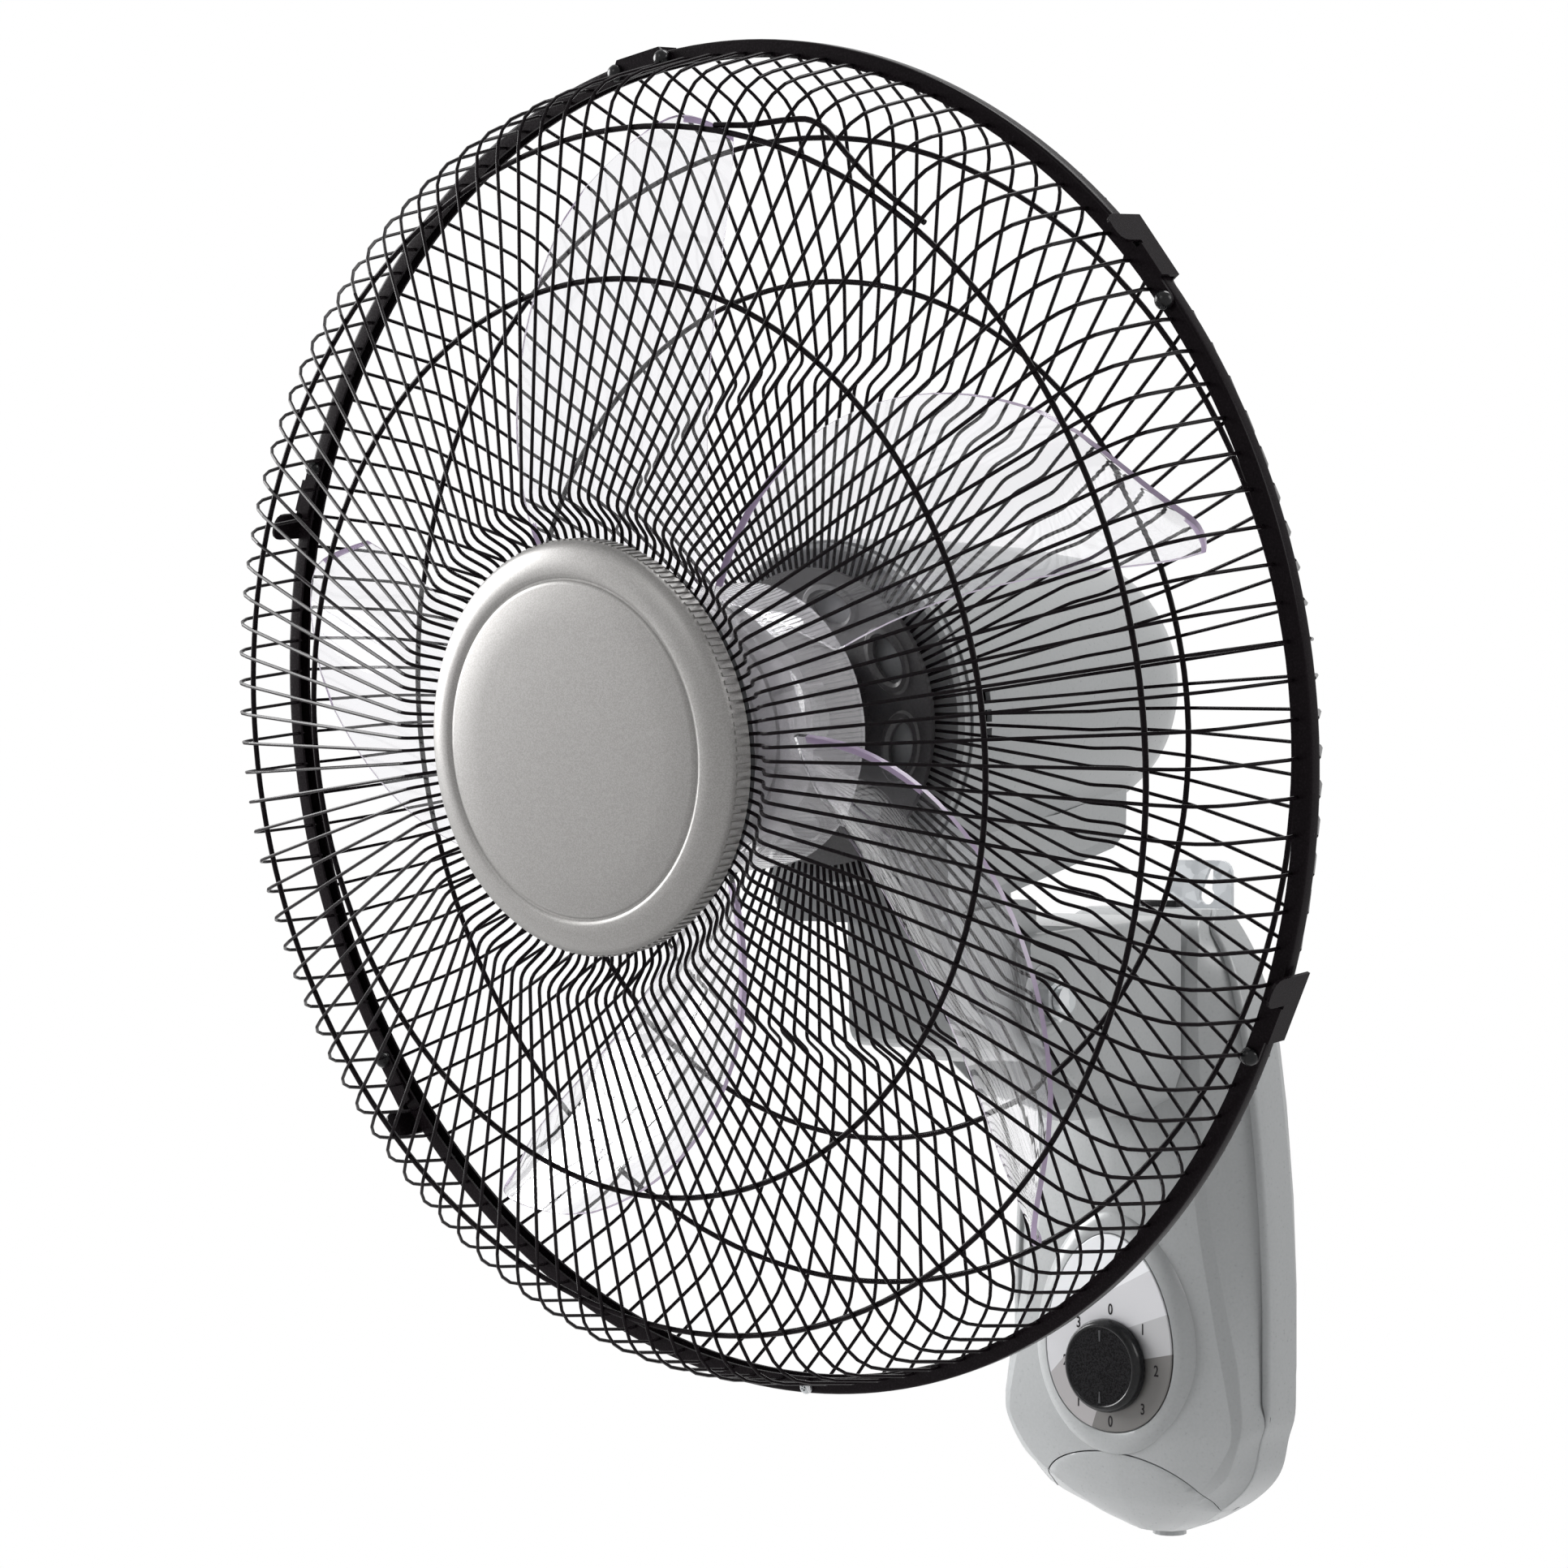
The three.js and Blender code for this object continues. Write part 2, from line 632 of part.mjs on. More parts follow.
// One blade: a warped sheet between a trailing edge (ahead of the plane) and a leading edge.
function blade(turnDegrees) {
  const rows = 6;
  const cols = 4;
  const rootR = hubR - hubSheet * 0.6;
  const grid = [[], []];
  const pos = [];
  for (const side of [0, 1]) {
    for (let i = 0; i < rows; i++) {
      const u = i / (rows - 1);
      grid[side].push([]);
      for (let j = 0; j < cols; j++) {
        const v = j / (cols - 1);
        const span = bladeTipR - rootR;
        const round = Math.sqrt(Math.max(0, 1 - ((v - 0.62) / 0.75) ** 2));
        const r = rootR + span * u * (1 - u * u * (1 - round) * 0.35);
        const t = (r - rootR) / span;
        const trail = -56 + 50 * t ** 1.45;
        const lead = -17 + 20 * t ** 0.8 - 3 * t ** 8;
        const angle = THREE.MathUtils.degToRad(turnDegrees + trail + (lead - trail) * v);
        const rise = 9 - 3 * t + (0.5 - v) * (30 - 4 * t) + 5 * Math.sin(Math.PI * v);
        const d = rise + (side ? -bladeSheet / 2 : bladeSheet / 2);
        grid[side][i].push(pos.length / 3);
        pos.push(r * Math.sin(angle), -d, r * Math.cos(angle));
      }
    }
  }
  const index = [];
  const quad = (a, b, c, d) => index.push(a, b, c, a, c, d);
  for (let i = 0; i + 1 < rows; i++) {
    for (let j = 0; j + 1 < cols; j++) {
      const [f, b] = grid;
      quad(f[i][j], f[i + 1][j], f[i + 1][j + 1], f[i][j + 1]);
      quad(b[i][j], b[i][j + 1], b[i + 1][j + 1], b[i + 1][j]);
    }
  }
  const border = [];
  for (let j = 0; j < cols; j++) border.push([0, j]);
  for (let i = 1; i < rows; i++) border.push([i, cols - 1]);
  for (let j = cols - 2; j >= 0; j--) border.push([rows - 1, j]);
  for (let i = rows - 2; i > 0; i--) border.push([i, 0]);
  border.forEach(([i, j], k) => {
    const [m, n] = border[(k + 1) % border.length];
    quad(grid[0][i][j], grid[0][m][n], grid[1][m][n], grid[1][i][j]);
  });
  const g = new THREE.BufferGeometry();
  g.setAttribute('position', new THREE.Float32BufferAttribute(pos, 3));
  g.setIndex(index);
  return g;
}
const boreR = shaftR + gap;
const cup = alongHead([
  [boreR, hubFrontD], [hubR - 8, hubFrontD], [hubR - 2, hubFrontD - 4], [hubR, hubFrontD - 10],
  [hubR, hubRearD], [hubR - hubSheet, hubRearD], [hubR - hubSheet, hubFrontD - 10],
  [hubR - 9, hubFrontD - hubSheet], [boreR + 6, hubFrontD - hubSheet],
  [boreR + 6, pinD + drivePinR + gap], [boreR, pinD + drivePinR + gap],
], 32);
const blades = Array.from({ length: bladeCount }, (_, k) =>
  blade(bladeTurn + (k * 360) / bladeCount));
add(head, 'impeller', join(cup, ...blades), clear);
add(head, 'spinner_nut', alongHead([
  [0, hubFrontD + spinnerLong], [spinnerR - 6, hubFrontD + spinnerLong],
  [spinnerR, hubFrontD + spinnerLong - 4], [spinnerR, hubFrontD + seat],
  [boreR, hubFrontD + seat], [boreR, shaftFront + gap], [0, shaftFront + gap],
], 16), dark);

// ---------------------------------------------------------------- latches, rivets and rim screw
const lipMid = rimR - rimDepth / 2;
const latchFrontD = seat + latchSheet;
const latchRearD = -rimWidth - seat - latchSheet;
const cheekIn = lipInner - lipMid + gap;
const roofOut = rimR - lipMid + seat + 0.1 + latchSheet;
// In the latch's own frame X runs back along the rim from the rivet and Z points outwards.
function latch() {
  const cheek = new THREE.Shape();
  cheek.absarc(0, 0, rivetHeadR, Math.PI * 0.5, Math.PI * 1.5, false);
  cheek.lineTo(0, cheekIn);
  cheek.lineTo(latchLong, cheekIn);
  cheek.lineTo(latchLong, roofOut);
  cheek.lineTo(latchArm, roofOut);
  cheek.lineTo(latchArm, rivetHeadR);
  cheek.closePath();
  cheek.holes.push(rivetHole(0));
  const tabStart = latchLong + tabNotch;
  const tabEnd = tabStart + tabWide;
  const front = slab(cheek, -seat, -latchFrontD, 3);
  const roof = box(latchArm, tabEnd, -seat, -latchRearD, roofOut - latchSheet, roofOut);
  const edge = box(latchArm, latchLong, -latchFrontD, -seat, roofOut - latchSheet, roofOut);
  const rear = box(latchArm, latchLong, -latchRearD - latchSheet, -latchRearD, 0.5, roofOut);
  const tab = new THREE.Shape();
  tab.moveTo(tabStart, -seat);
  tab.lineTo(tabStart, latchFrontD + tabReach - tabWide * 0.4);
  tab.quadraticCurveTo(tabStart, latchFrontD + tabReach, (tabStart + tabEnd) / 2, latchFrontD + tabReach);
  tab.quadraticCurveTo(tabEnd, latchFrontD + tabReach, tabEnd, latchFrontD + tabReach - tabWide * 0.4);
  tab.lineTo(tabEnd, -seat);
  tab.closePath();
  const plate = new THREE.ExtrudeGeometry(tab, {
    depth: latchSheet, bevelEnabled: false, curveSegments: 4,
  });
  plate.scale(1, -1, 1);
  plate.translate(0, 0, roofOut - latchSheet);
  return join(front, edge, roof, rear, plate);
}
function rivetHole(x) {
  const hole = new THREE.Path();
  hole.absarc(x, 0, rivetR + gap, 0, 2 * Math.PI, true);
  return hole;
}
// The top clip is riveted at both ends and holds the guard halves together for good.
function clip() {
  const cheek = new THREE.Shape();
  cheek.absarc(-clipHalf, 0, rivetHeadR, Math.PI * 0.5, Math.PI * 1.5, false);
  cheek.absarc(clipHalf, 0, rivetHeadR, Math.PI * 1.5, Math.PI * 0.5, false);
  cheek.lineTo(clipHalf - 1, roofOut);
  cheek.lineTo(1 - clipHalf, roofOut);
  cheek.closePath();
  cheek.holes.push(rivetHole(-clipHalf), rivetHole(clipHalf));
  const half = clipHalf - 1;
  return join(slab(cheek, -seat, -latchFrontD, 3),
    box(-half, half, -latchFrontD, -latchRearD, roofOut - latchSheet, roofOut),
    box(-half, half, -latchRearD - latchSheet, -latchRearD, 0.5, roofOut));
}
function onRim(geometry, degrees, r = lipMid) {
  const turn = THREE.MathUtils.degToRad(degrees);
  const g = geometry.clone();
  g.scale(-1, 1, 1);                 // the latch runs counter-clockwise from its rivet
  g.rotateY(turn);
  g.translate(r * Math.sin(turn), 0, r * Math.cos(turn));
  return g;
}
const rivet = alongHead([
  [0, seat], [rivetR, seat], [rivetR, latchFrontD + gap], [rivetHeadR, latchFrontD + gap],
  [rivetHeadR * 0.8, latchFrontD + gap + 1.2], [0, latchFrontD + gap + 1.8],
], 10);
const latchSolid = latch();
latchAngles.forEach((degrees, k) => {
  add(head, `guard_latch_${k + 1}`, onRim(latchSolid, degrees), black);
  add(head, `latch_rivet_${k + 1}`, onRim(rivet, degrees), black);
});
add(head, 'guard_clip', onRim(clip(), clipAngle), black);
for (const [name, side] of [['clip_rivet_left', 1], ['clip_rivet_right', -1]]) {
  add(head, name, onRim(rivet.clone().translate(side * clipHalf, 0, 0), clipAngle), black);
}
add(head, 'rim_screw', onRim(alongHead([
  [0, seat], [2.3, seat], [2.3, seat + 1], [1.4, seat + 1.9], [0, seat + 2.1],
], 14), screwAngle), steel);

// ---------------------------------------------------------------- neck
const floorZ = coverFrontZ - gap;    // in the head's frame: just under the lower cover's front
const pinTop = -59;
const armThick = 3;
const armTop = pinTop + seat + armThick;
add(head, 'oscillation_pin', alongZ([
  [0, floorZ - 26], [pinR, floorZ - 26], [pinR, pinTop], [0, pinTop],
], 20, 0, pinY), steel);
add(head, 'pivot_arm', join(
  barZ(pinR + 2, pinTop + seat, armTop, 0, pinY, 16),
  box(armX - 3, 0, pinY - 4, pinY + 4, pinTop + seat, armTop),
  barZ(crankPinR, pinTop + seat + 1, linkZ - linkThick - seat, armX, pinY, 10)), steel);

// A turned solid about a vertical axis at x, y; the profile is [radius, z].
function alongZ(profile, segments, x, y) {
  const g = turned(profile, segments);
  g.rotateX(Math.PI / 2);
  g.translate(x, y, 0);
  return closed(g);
}

function neck() {
  const cornerY = 8;
  const outline = new THREE.Shape();
  outline.moveTo(neckRear, neckTop + 8);
  outline.lineTo(neckFront + 2, neckTop + 3);
  outline.lineTo(neckFront + 3, neckBottom + cornerY);
  outline.quadraticCurveTo(neckFront + 4, neckBottom, neckFront + 14, neckBottom);
  outline.lineTo(neckRear, neckBottom);
  outline.closePath();
  const side = (shape, half) => {
    const g = new THREE.ExtrudeGeometry(shape, {
      depth: 2 * half, bevelEnabled: false, curveSegments: 6,
    });
    g.applyMatrix4(new THREE.Matrix4().makeBasis(
      new THREE.Vector3(0, 1, 0), new THREE.Vector3(0, 0, 1), new THREE.Vector3(1, 0, 0)));
    g.translate(-half, 0, 0);
    return closed(g);
  };
  const body = side(outline, lugHalf);
  const lug = barX(lugR, -lugHalf, lugHalf, pivotY, pivotZ, 28);
  return { body, lug };
}
const neckParts = neck();
const pinWorld = new THREE.Matrix4().compose(
  new THREE.Vector3(0, headY, headZ),
  new THREE.Quaternion().setFromAxisAngle(new THREE.Vector3(1, 0, 0), headTilt),
  new THREE.Vector3(1, 1, 1));
const pinSocket = alongZ([
  [0, floorZ - 26 - gap], [pinR + gap, floorZ - 26 - gap], [pinR + gap, 0], [0, 0],
], 24, 0, pinY).applyMatrix4(pinWorld);
// everything of the neck above the head's floor plane is cut away
const aboveFloor = box(-80, 80, 0, 260, floorZ, floorZ + 60).applyMatrix4(pinWorld);
add(fan, 'neck_housing', cut(join(neckParts.body, neckParts.lug), pinSocket, aboveFloor,
  barX(boltR + gap, -noseHalf, noseHalf, pivotY, pivotZ, 20)), grey);

// ---------------------------------------------------------------- base
// Shares of the base's height, with its half width, its ridge's half width and its front's depth
// there as shares of the widest.
const baseLevels = [
  [0.00, 0.20, 0.12, 0.62], [0.02, 0.40, 0.26, 0.72], [0.04, 0.55, 0.36, 0.80],
  [0.06, 0.68, 0.46, 0.87], [0.09, 0.82, 0.62, 0.94], [0.12, 0.90, 0.74, 0.98],
  [0.17, 0.95, 0.87, 1.00], [0.20, 0.99, 0.88, 1.00], [0.23, 1.00, 0.86, 1.00],
  [0.31, 1.00, 0.79, 1.00], [0.38, 1.00, 0.73, 1.00], [0.54, 0.97, 0.61, 1.00],
  [0.71, 0.90, 0.56, 1.00], [0.82, 0.83, 0.54, 1.00], [0.92, 0.72, 0.52, 0.97],
  [0.97, 0.60, 0.50, 0.88], [1.00, 0.50, 0.42, 0.72],
];
const baseHeight = baseTop - baseBottom;
const inFrom = (inset) => 1 - inset / baseHalf;

// One level of the front housing, from the left of the joint round the front to the right.
function baseSection([share, width, ridge, depth], inset) {
  const w = baseHalf * width * inFrom(inset);
  const x = baseHalf * ridge * inFrom(inset);
  const z = baseBottom + inset + share * (baseHeight - 2 * inset);
  const front = baseFront * depth + inset;
  const edge = Math.min(Math.max(front + 9, flangeFront + inset), splitY - 4);
  const panel = Math.max(x + 3, w - 7 * (share > 0.2 ? 1 : 0.1));
  const back = inset > 0 ? splitY + 1 : splitY;
  const right = [[x * 0.84, front], [x, front + 2.5], [x + 2.5, Math.min(front + 8, edge - 0.5)],
    [panel, edge - 0.3], [w - 1.2, edge], [w, edge + 2], [w, back]];
  const left = right.map(([a, b]) => [-a, b]).reverse();
  return [...left, ...right].map(([a, b]) => [a, b, z]);
}
const baseBody = (inset) => loft(baseLevels.map((level) => baseSection(level, inset)));

// The block that carries the tilt pivot: flat sides, and a keel that rises towards its front.
function noseBlock() {
  const rings = [
    [baseFront + wall, noseTop + 4, noseSide, noseKeel],
    [noseFront + 58, noseTop + 2.5, noseSide, noseKeel],
    [noseFront + 40, noseTop + 1.5, noseSide + 4, noseKeel + 4.5],
    [noseFront + 26, noseTop + 1, noseSide + 8, noseKeel + 18],
    [noseFront + 17, noseTop + 0.6, noseSide + 12, noseKeel + 30],
    [noseFront + 4, noseTop, noseSide + 15, noseKeel + 33],
    [noseFront, noseTop - 4, noseSide + 20, noseKeel + 38],
  ];
  return loft(rings.map(([y, top, side, keel]) => {
    const half = [[noseHalf - 2, top], [noseHalf, top - 2], [noseHalf, side],
      [noseHalf * 0.87, side * 0.45 + keel * 0.55], [noseHalf * 0.5, keel + (side - keel) * 0.12]];
    const other = half.map(([x, z]) => [-x, z]).reverse();
    return [...half, ...other].map(([x, z]) => [x, y, z]);
  }));
}

function frontHousing() {
  const inner = noseHalf - earWall;
  const slotBack = pivotY + lugR + 7;
  return cut(join(cut(baseBody(0), baseBody(wall)), noseBlock()),
    box(-inner, inner, noseFront - 5, slotBack, noseKeel - 5, noseTop + 12),
    box(-inner, inner, slotBack - 1, baseFront + 2 * wall, noseSide + wall, noseTop - wall),
    barX(boltR + gap, -noseHalf - 1, noseHalf + 1, pivotY, pivotZ, 20),
    barY(knobShaftR + gap + 1, baseFront - 5, baseFront + 2 * wall, 0, dialZ, 16),
    barZ(inletR + gap, baseBottom - 1, baseBottom + 2 * wall, 0, inletY, 16), lowerCut());
}
// The lower cover closes an oval opening across the housing's bottom front.
function lowerOval(inset) {
  const s = new THREE.Shape();
  s.absellipse(0, lowerZ, lowerHalf - inset, lowerUp - inset, 0, 2 * Math.PI);
  return s;
}
const lowerBack = splitY - 4;
function lowerCut() {
  return slab(lowerOval(-gap), lowerBack + gap, baseFront - 5, 10);
}
add(fan, 'base_front_housing', frontHousing(), grey);
const lowerBody = fromSolid(toSolid(slab(lowerOval(0), lowerBack, baseFront - 5, 10))
  .intersect(toSolid(baseBody(0)))
  .subtract(toSolid(baseBody(wall))));
add(fan, 'base_lower_cover', lowerBody, grey);

function ringAt(y, inset) {
  const half = baseLevels.map(([share, width]) => [
    baseHalf * width * inFrom(inset), baseBottom + inset + share * (baseHeight - 2 * inset)]);
  const other = half.map(([x, z]) => [-x, z]).reverse();
  return [...half, ...other].map(([x, z]) => [x, y, z]);
}
const coverFloor = -wallSheet - seat;
add(fan, 'base_back_cover', cut(loft([
  ringAt(coverFloor - wall, backInset + 2 * wall), ringAt(splitY + gap + 3, backInset + wall),
  ringAt(splitY + gap, 2 * wall), ringAt(splitY + gap, 1.5), ringAt(splitY + 3, 3.5),
  ringAt(splitY + 8, backInset - 3), ringAt(coverFloor, backInset + 1),
]), barZ(inletR + gap, baseBottom - 1, baseBottom + backInset + 6, 0, inletY, 16)), grey);

function wallPlateShape() {
  const s = new THREE.Shape();
  const half = plateHalf;
  const low = plateLow;
  const high = plateHigh;
  s.moveTo(-half, low);
  s.lineTo(half, low);
  s.lineTo(half, high - 20);
  s.quadraticCurveTo(half, high, tabHalf + 3, high);
  s.lineTo(tabHalf, high + 3);
  s.lineTo(tabHalf, tabTop - 6);
  s.quadraticCurveTo(tabHalf, tabTop, tabHalf - 6, tabTop);
  s.lineTo(-tabHalf + 4, tabTop);
  s.quadraticCurveTo(-tabHalf, tabTop, -tabHalf, tabTop - 4);
  s.lineTo(-tabHalf, high + 3);
  s.lineTo(-tabHalf - 3, high);
  s.quadraticCurveTo(-half, high, -half, high - 20);
  s.closePath();
  const key = new THREE.Path();
  const keyZ = baseTop + 4;
  key.absarc(3, keyZ, 3.6, Math.PI * 0.75, Math.PI * 2.25, false);
  key.absarc(5, keyZ + 9, 1.6, Math.PI * 0.25, Math.PI * 0.75, false);
  key.closePath();
  s.holes.push(key);
  for (const z of [-60, 60]) {
    const hole = new THREE.Path();
    hole.absarc(0, z, 2.5, 0, 2 * Math.PI, true);
    s.holes.push(hole);
  }
  return s;
}
add(fan, 'wall_plate', slab(wallPlateShape(), 0, -wallSheet, 5), steel);

// catch on top, between the wall plate's tab and the housing
const catchZ = baseTop + seat;
add(fan, 'top_catch', box(-10, 10, splitY - 7, splitY - 2, catchZ, catchZ + 2.6), blackPlastic);

add(fan, 'cord_inlet', cut(barZ(inletR, baseBottom - 3.4, baseBottom - seat, 0, inletY, 16),
  barZ(inletBore, baseBottom - 4, baseBottom, 0, inletY, 12)), rubber);

// ---------------------------------------------------------------- tilt bolt, nut and washers
const headSeat = noseHalf + seat;
add(fan, 'tilt_bolt', join(
  barX(boltR, -headSeat - 1, headSeat + 9, pivotY, pivotZ, 20),
  barX(boltHeadR, -headSeat - 5, -headSeat, pivotY, pivotZ, 6)), steel);
add(fan, 'tilt_nut', cut(
  barX(boltHeadR, headSeat, headSeat + 6, pivotY, pivotZ, 6),
  barX(boltR + gap, headSeat - 1, headSeat + 7, pivotY, pivotZ, 20)), steel);
for (const [name, side] of [['tilt_washer_left', -1], ['tilt_washer_right', 1]]) {
  const near = side * (lugHalf + gap);
  const far = side * (lugHalf + gap + washerThick);
  const [x0, x1] = [Math.min(near, far), Math.max(near, far)];
  add(fan, name, cut(barX(boltR + 6, x0, x1, pivotY, pivotZ, 14),
    barX(boltR + gap, x0 - 1, x1 + 1, pivotY, pivotZ, 14)), steel);
}

// ---------------------------------------------------------------- dial, knob, switch and capacitor
function dialShape(inset) {
  const s = new THREE.Shape();
  const w = dialHalf - inset;
  const top = dialZ + dialUp - inset;
  const bottom = dialZ - dialDown + inset;
  const belly = dialZ + 6;
  s.moveTo(0, bottom);
  s.bezierCurveTo(w * 0.6, bottom, w, dialZ - 12, w, belly);
  s.bezierCurveTo(w, dialZ + 26, w * 0.55, top, 0, top);
  s.bezierCurveTo(-w * 0.55, top, -w, dialZ + 26, -w, belly);
  s.bezierCurveTo(-w, dialZ - 12, -w * 0.6, bottom, 0, bottom);
  const hole = new THREE.Path();
  hole.absarc(0, dialZ, knobShaftR + gap + 1, 0, 2 * Math.PI, true);
  s.holes.push(hole);
  return s;
}
const dialBack = baseFront - seat;
add(fan, 'dial_plate', slab(dialShape(0), dialBack, dialBack - dialSheet, 6), silver);
const knobBack = dialBack - dialSheet - gap;
add(fan, 'speed_knob', (() => {
  const g = turned([
    [knobShaftR + gap, knobBack], [knobR, knobBack], [knobR, knobBack - knobThick * 0.5],
    [knobR - 2, knobBack - knobThick], [0, knobBack - knobThick], [0, knobBack - 4],
    [knobShaftR + gap, knobBack - 4],
  ].reverse(), 24);
  g.translate(0, 0, dialZ);
  return g;
})(), blackPlastic);
const switchFront = baseFront + wall + seat;
add(fan, 'switch_shaft', barY(knobShaftR, switchFront + 2, knobBack - 4 + gap, 0, dialZ, 16), steel);
add(fan, 'speed_switch', cut(
  box(-15, 15, switchFront, switchFront + 20, dialZ - 15, dialZ + 15),
  barY(knobShaftR + gap, switchFront - 1, switchFront + 2 + gap, 0, dialZ, 16)), dark);
add(fan, 'run_capacitor', box(-18, 18, splitY + 2, coverFloor - wall - seat, 2, 30), dark);
for (const [name, x] of [['base_screw_left', -26], ['base_screw_right', 26]]) {
  add(fan, name, barY(3.4, splitY + 8, coverFloor - wall - seat, x, -30, 12), steel);
}

export default fan;
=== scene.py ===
"""A wall mounted fan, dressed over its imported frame.

Sizes are in millimetres and become metres in at(). The head's pieces are modelled square to the
fan's own axis, with depth counted forwards from the rim, and then tilted into place.
"""
from math import atan2, cos, degrees, pi, radians, sin, sqrt, tan

import bmesh
import bpy
from mathutils import Euler, Matrix, Vector
from mathutils.bvhtree import BVHTree

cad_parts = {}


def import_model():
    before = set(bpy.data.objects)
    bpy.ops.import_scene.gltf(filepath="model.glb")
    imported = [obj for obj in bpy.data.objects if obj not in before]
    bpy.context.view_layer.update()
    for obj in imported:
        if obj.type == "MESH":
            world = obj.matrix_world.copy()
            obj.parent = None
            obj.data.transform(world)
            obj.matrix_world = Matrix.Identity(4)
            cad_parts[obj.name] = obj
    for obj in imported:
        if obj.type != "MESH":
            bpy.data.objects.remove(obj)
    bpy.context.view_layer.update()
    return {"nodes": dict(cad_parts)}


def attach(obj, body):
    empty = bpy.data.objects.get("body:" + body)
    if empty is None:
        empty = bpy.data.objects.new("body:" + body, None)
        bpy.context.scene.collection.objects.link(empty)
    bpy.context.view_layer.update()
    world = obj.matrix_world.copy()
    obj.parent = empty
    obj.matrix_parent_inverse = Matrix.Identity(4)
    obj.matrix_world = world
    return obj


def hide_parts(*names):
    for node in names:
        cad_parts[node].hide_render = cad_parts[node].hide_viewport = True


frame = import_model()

scene = bpy.context.scene
MM = 0.001
WELD = 1e-6     # points closer than this, in metres, are joined

# ------------------------------------------------------------------ sizes
HEAD_PLACE = (0, -0.268, 0.185)
HEAD_TILT = 5.87
HEAD = Matrix.Translation(HEAD_PLACE) @ Matrix.Rotation(radians(HEAD_TILT), 4, "X")

WIRES = 120
WIRE_R = 0.62
HOOP_R = 0.95
RIM_R = 225.0
RIM_DEPTH = 5.7
RIM_WIDTH = 5.6
RIM_SHEET = 0.9

# a guard wire's corners as (radius, depth), from the middle outwards, and its bends' radii
FRONT_WIRE = [(62, 67.4), (71.5, 68.5), (79.5, 77.6), (212.5, 38.5), (220.2, 5), (220.4, -2)]
FRONT_BENDS = [7, 6, 24, 8]
FRONT_HOOPS = {"front_ring_inner": (148.0, 56.2), "front_ring_outer": (196.0, 42.2)}
REAR_WIRE = [(50, -41.2), (114, -43.5), (121, -52.4), (147, -51.2), (205, -36.5), (224.0, -5.9)]
REAR_BENDS = [5, 5, 40, 22]
REAR_HOOPS = {"rear_ring_inner": (147.0, -49.4), "rear_ring_outer": (194.5, -37.6)}

REED = 0.45
PLATE_R = 51.0
PLATE_D = -39.7
PLATE_BORE = 12.5
PLATE_SHEET = 1.1
WINDOWS = 8
WINDOW_TURN = 16.0
WINDOW_R = 38.3
WINDOW_LONG = 9.3
WINDOW_WIDE = 6.0
NUT_R = 24.0
NUT_RIB = 0.9

LATCHES = (55.5, 117.0, 237.0, 296.0)
CLIP = 354.0
CLIP_HALF = 10.7
RIM_SCREW = 177.3

HUB_R = 48.0
HUB_FRONT = 26.0
HUB_REAR = -8.0
BLADES = 5
BLADE_TIP = 202.0
BLADE_SHEET = 1.8
TINTED_EDGE = 2.0

BASE_HALF = 59.4
BASE_TOP = 119.0
BASE_BOTTOM = -117.0
BASE_FRONT = -60.0
FLANGE_FRONT = -43.0
JOINT_Y = -25.0
BASE_SHEET = 2.0
BASE_CROWN = 4.6
CROWN_HALF = 42.0
# share of the base's height, half width, ridge's half width and front's depth there
BASE_LEVELS = [
    (0.00, 0.20, 0.12, 0.62), (0.02, 0.40, 0.26, 0.72), (0.04, 0.55, 0.36, 0.80),
    (0.06, 0.68, 0.46, 0.87), (0.09, 0.82, 0.62, 0.94), (0.12, 0.90, 0.74, 0.98),
    (0.17, 0.95, 0.87, 1.00), (0.20, 0.99, 0.88, 1.00), (0.23, 1.00, 0.86, 1.00),
    (0.31, 1.00, 0.79, 1.00), (0.38, 1.00, 0.73, 1.00), (0.54, 0.97, 0.61, 1.00),
    (0.71, 0.90, 0.56, 1.00), (0.82, 0.83, 0.54, 1.00), (0.92, 0.72, 0.52, 0.97),
    (0.97, 0.60, 0.50, 0.88), (1.00, 0.50, 0.42, 0.72)]
LOWER_HALF = 38.0
LOWER_UP = 19.5
LOWER_Z = -104.0
LOWER_BACK = -29.0

NOSE_HALF = 30.0
NOSE_TAPER = 26.1
EAR_IN = 24.6
TILT_Y = -139.0
TILT_Z = 90.0

DIAL_Z = -51.6
DIAL_HALF = 29.0
DIAL_UP = 49.0
DIAL_DOWN = 25.0
COLLAR = 8.7
SHAFT_HOLE = 4.3
SHAFT_ROOM = 5.5
KNOB_FACE_R = 14.8
KNOB_FACE_Y = -66.95
NUMBER_CIRCLE = 21.0
NUMBER_SIZE = 5.8
NUMBER_SQUEEZE = 0.74


# ------------------------------------------------------------------ modelling helpers
def at(x, y, z):
    return Vector((x, y, z)) * MM


def rounded(points, bends, steps=5):
    """An outline whose inner corners are turned into arcs; bends holds each corner's radius."""
    path = [Vector(points[0])]
    for i, bend in enumerate(bends, start=1):
        corner, before, after = (Vector(points[k]) for k in (i, i - 1, i + 1))
        back = before - corner
        ahead = after - corner
        swing = pi - back.angle(ahead)
        cut = min(bend * tan(swing / 2), back.length * 0.48, ahead.length * 0.48)
        start = corner + back.normalized() * cut
        end = corner + ahead.normalized() * cut
        for k in range(steps + 1):
            t = k / steps
            path.append(start * (1 - t) ** 2 + corner * (2 * t * (1 - t)) + end * t ** 2)
    path.append(Vector(points[-1]))
    return path


def all_of(bm):
    return bm.verts[:] + bm.edges[:] + bm.faces[:]


def only_verts(geom):
    return [g for g in geom if isinstance(g, bmesh.types.BMVert)]


def off_axis(point):
    """How far a point is from the head's axis."""
    return Vector((point.x, point.z)).length


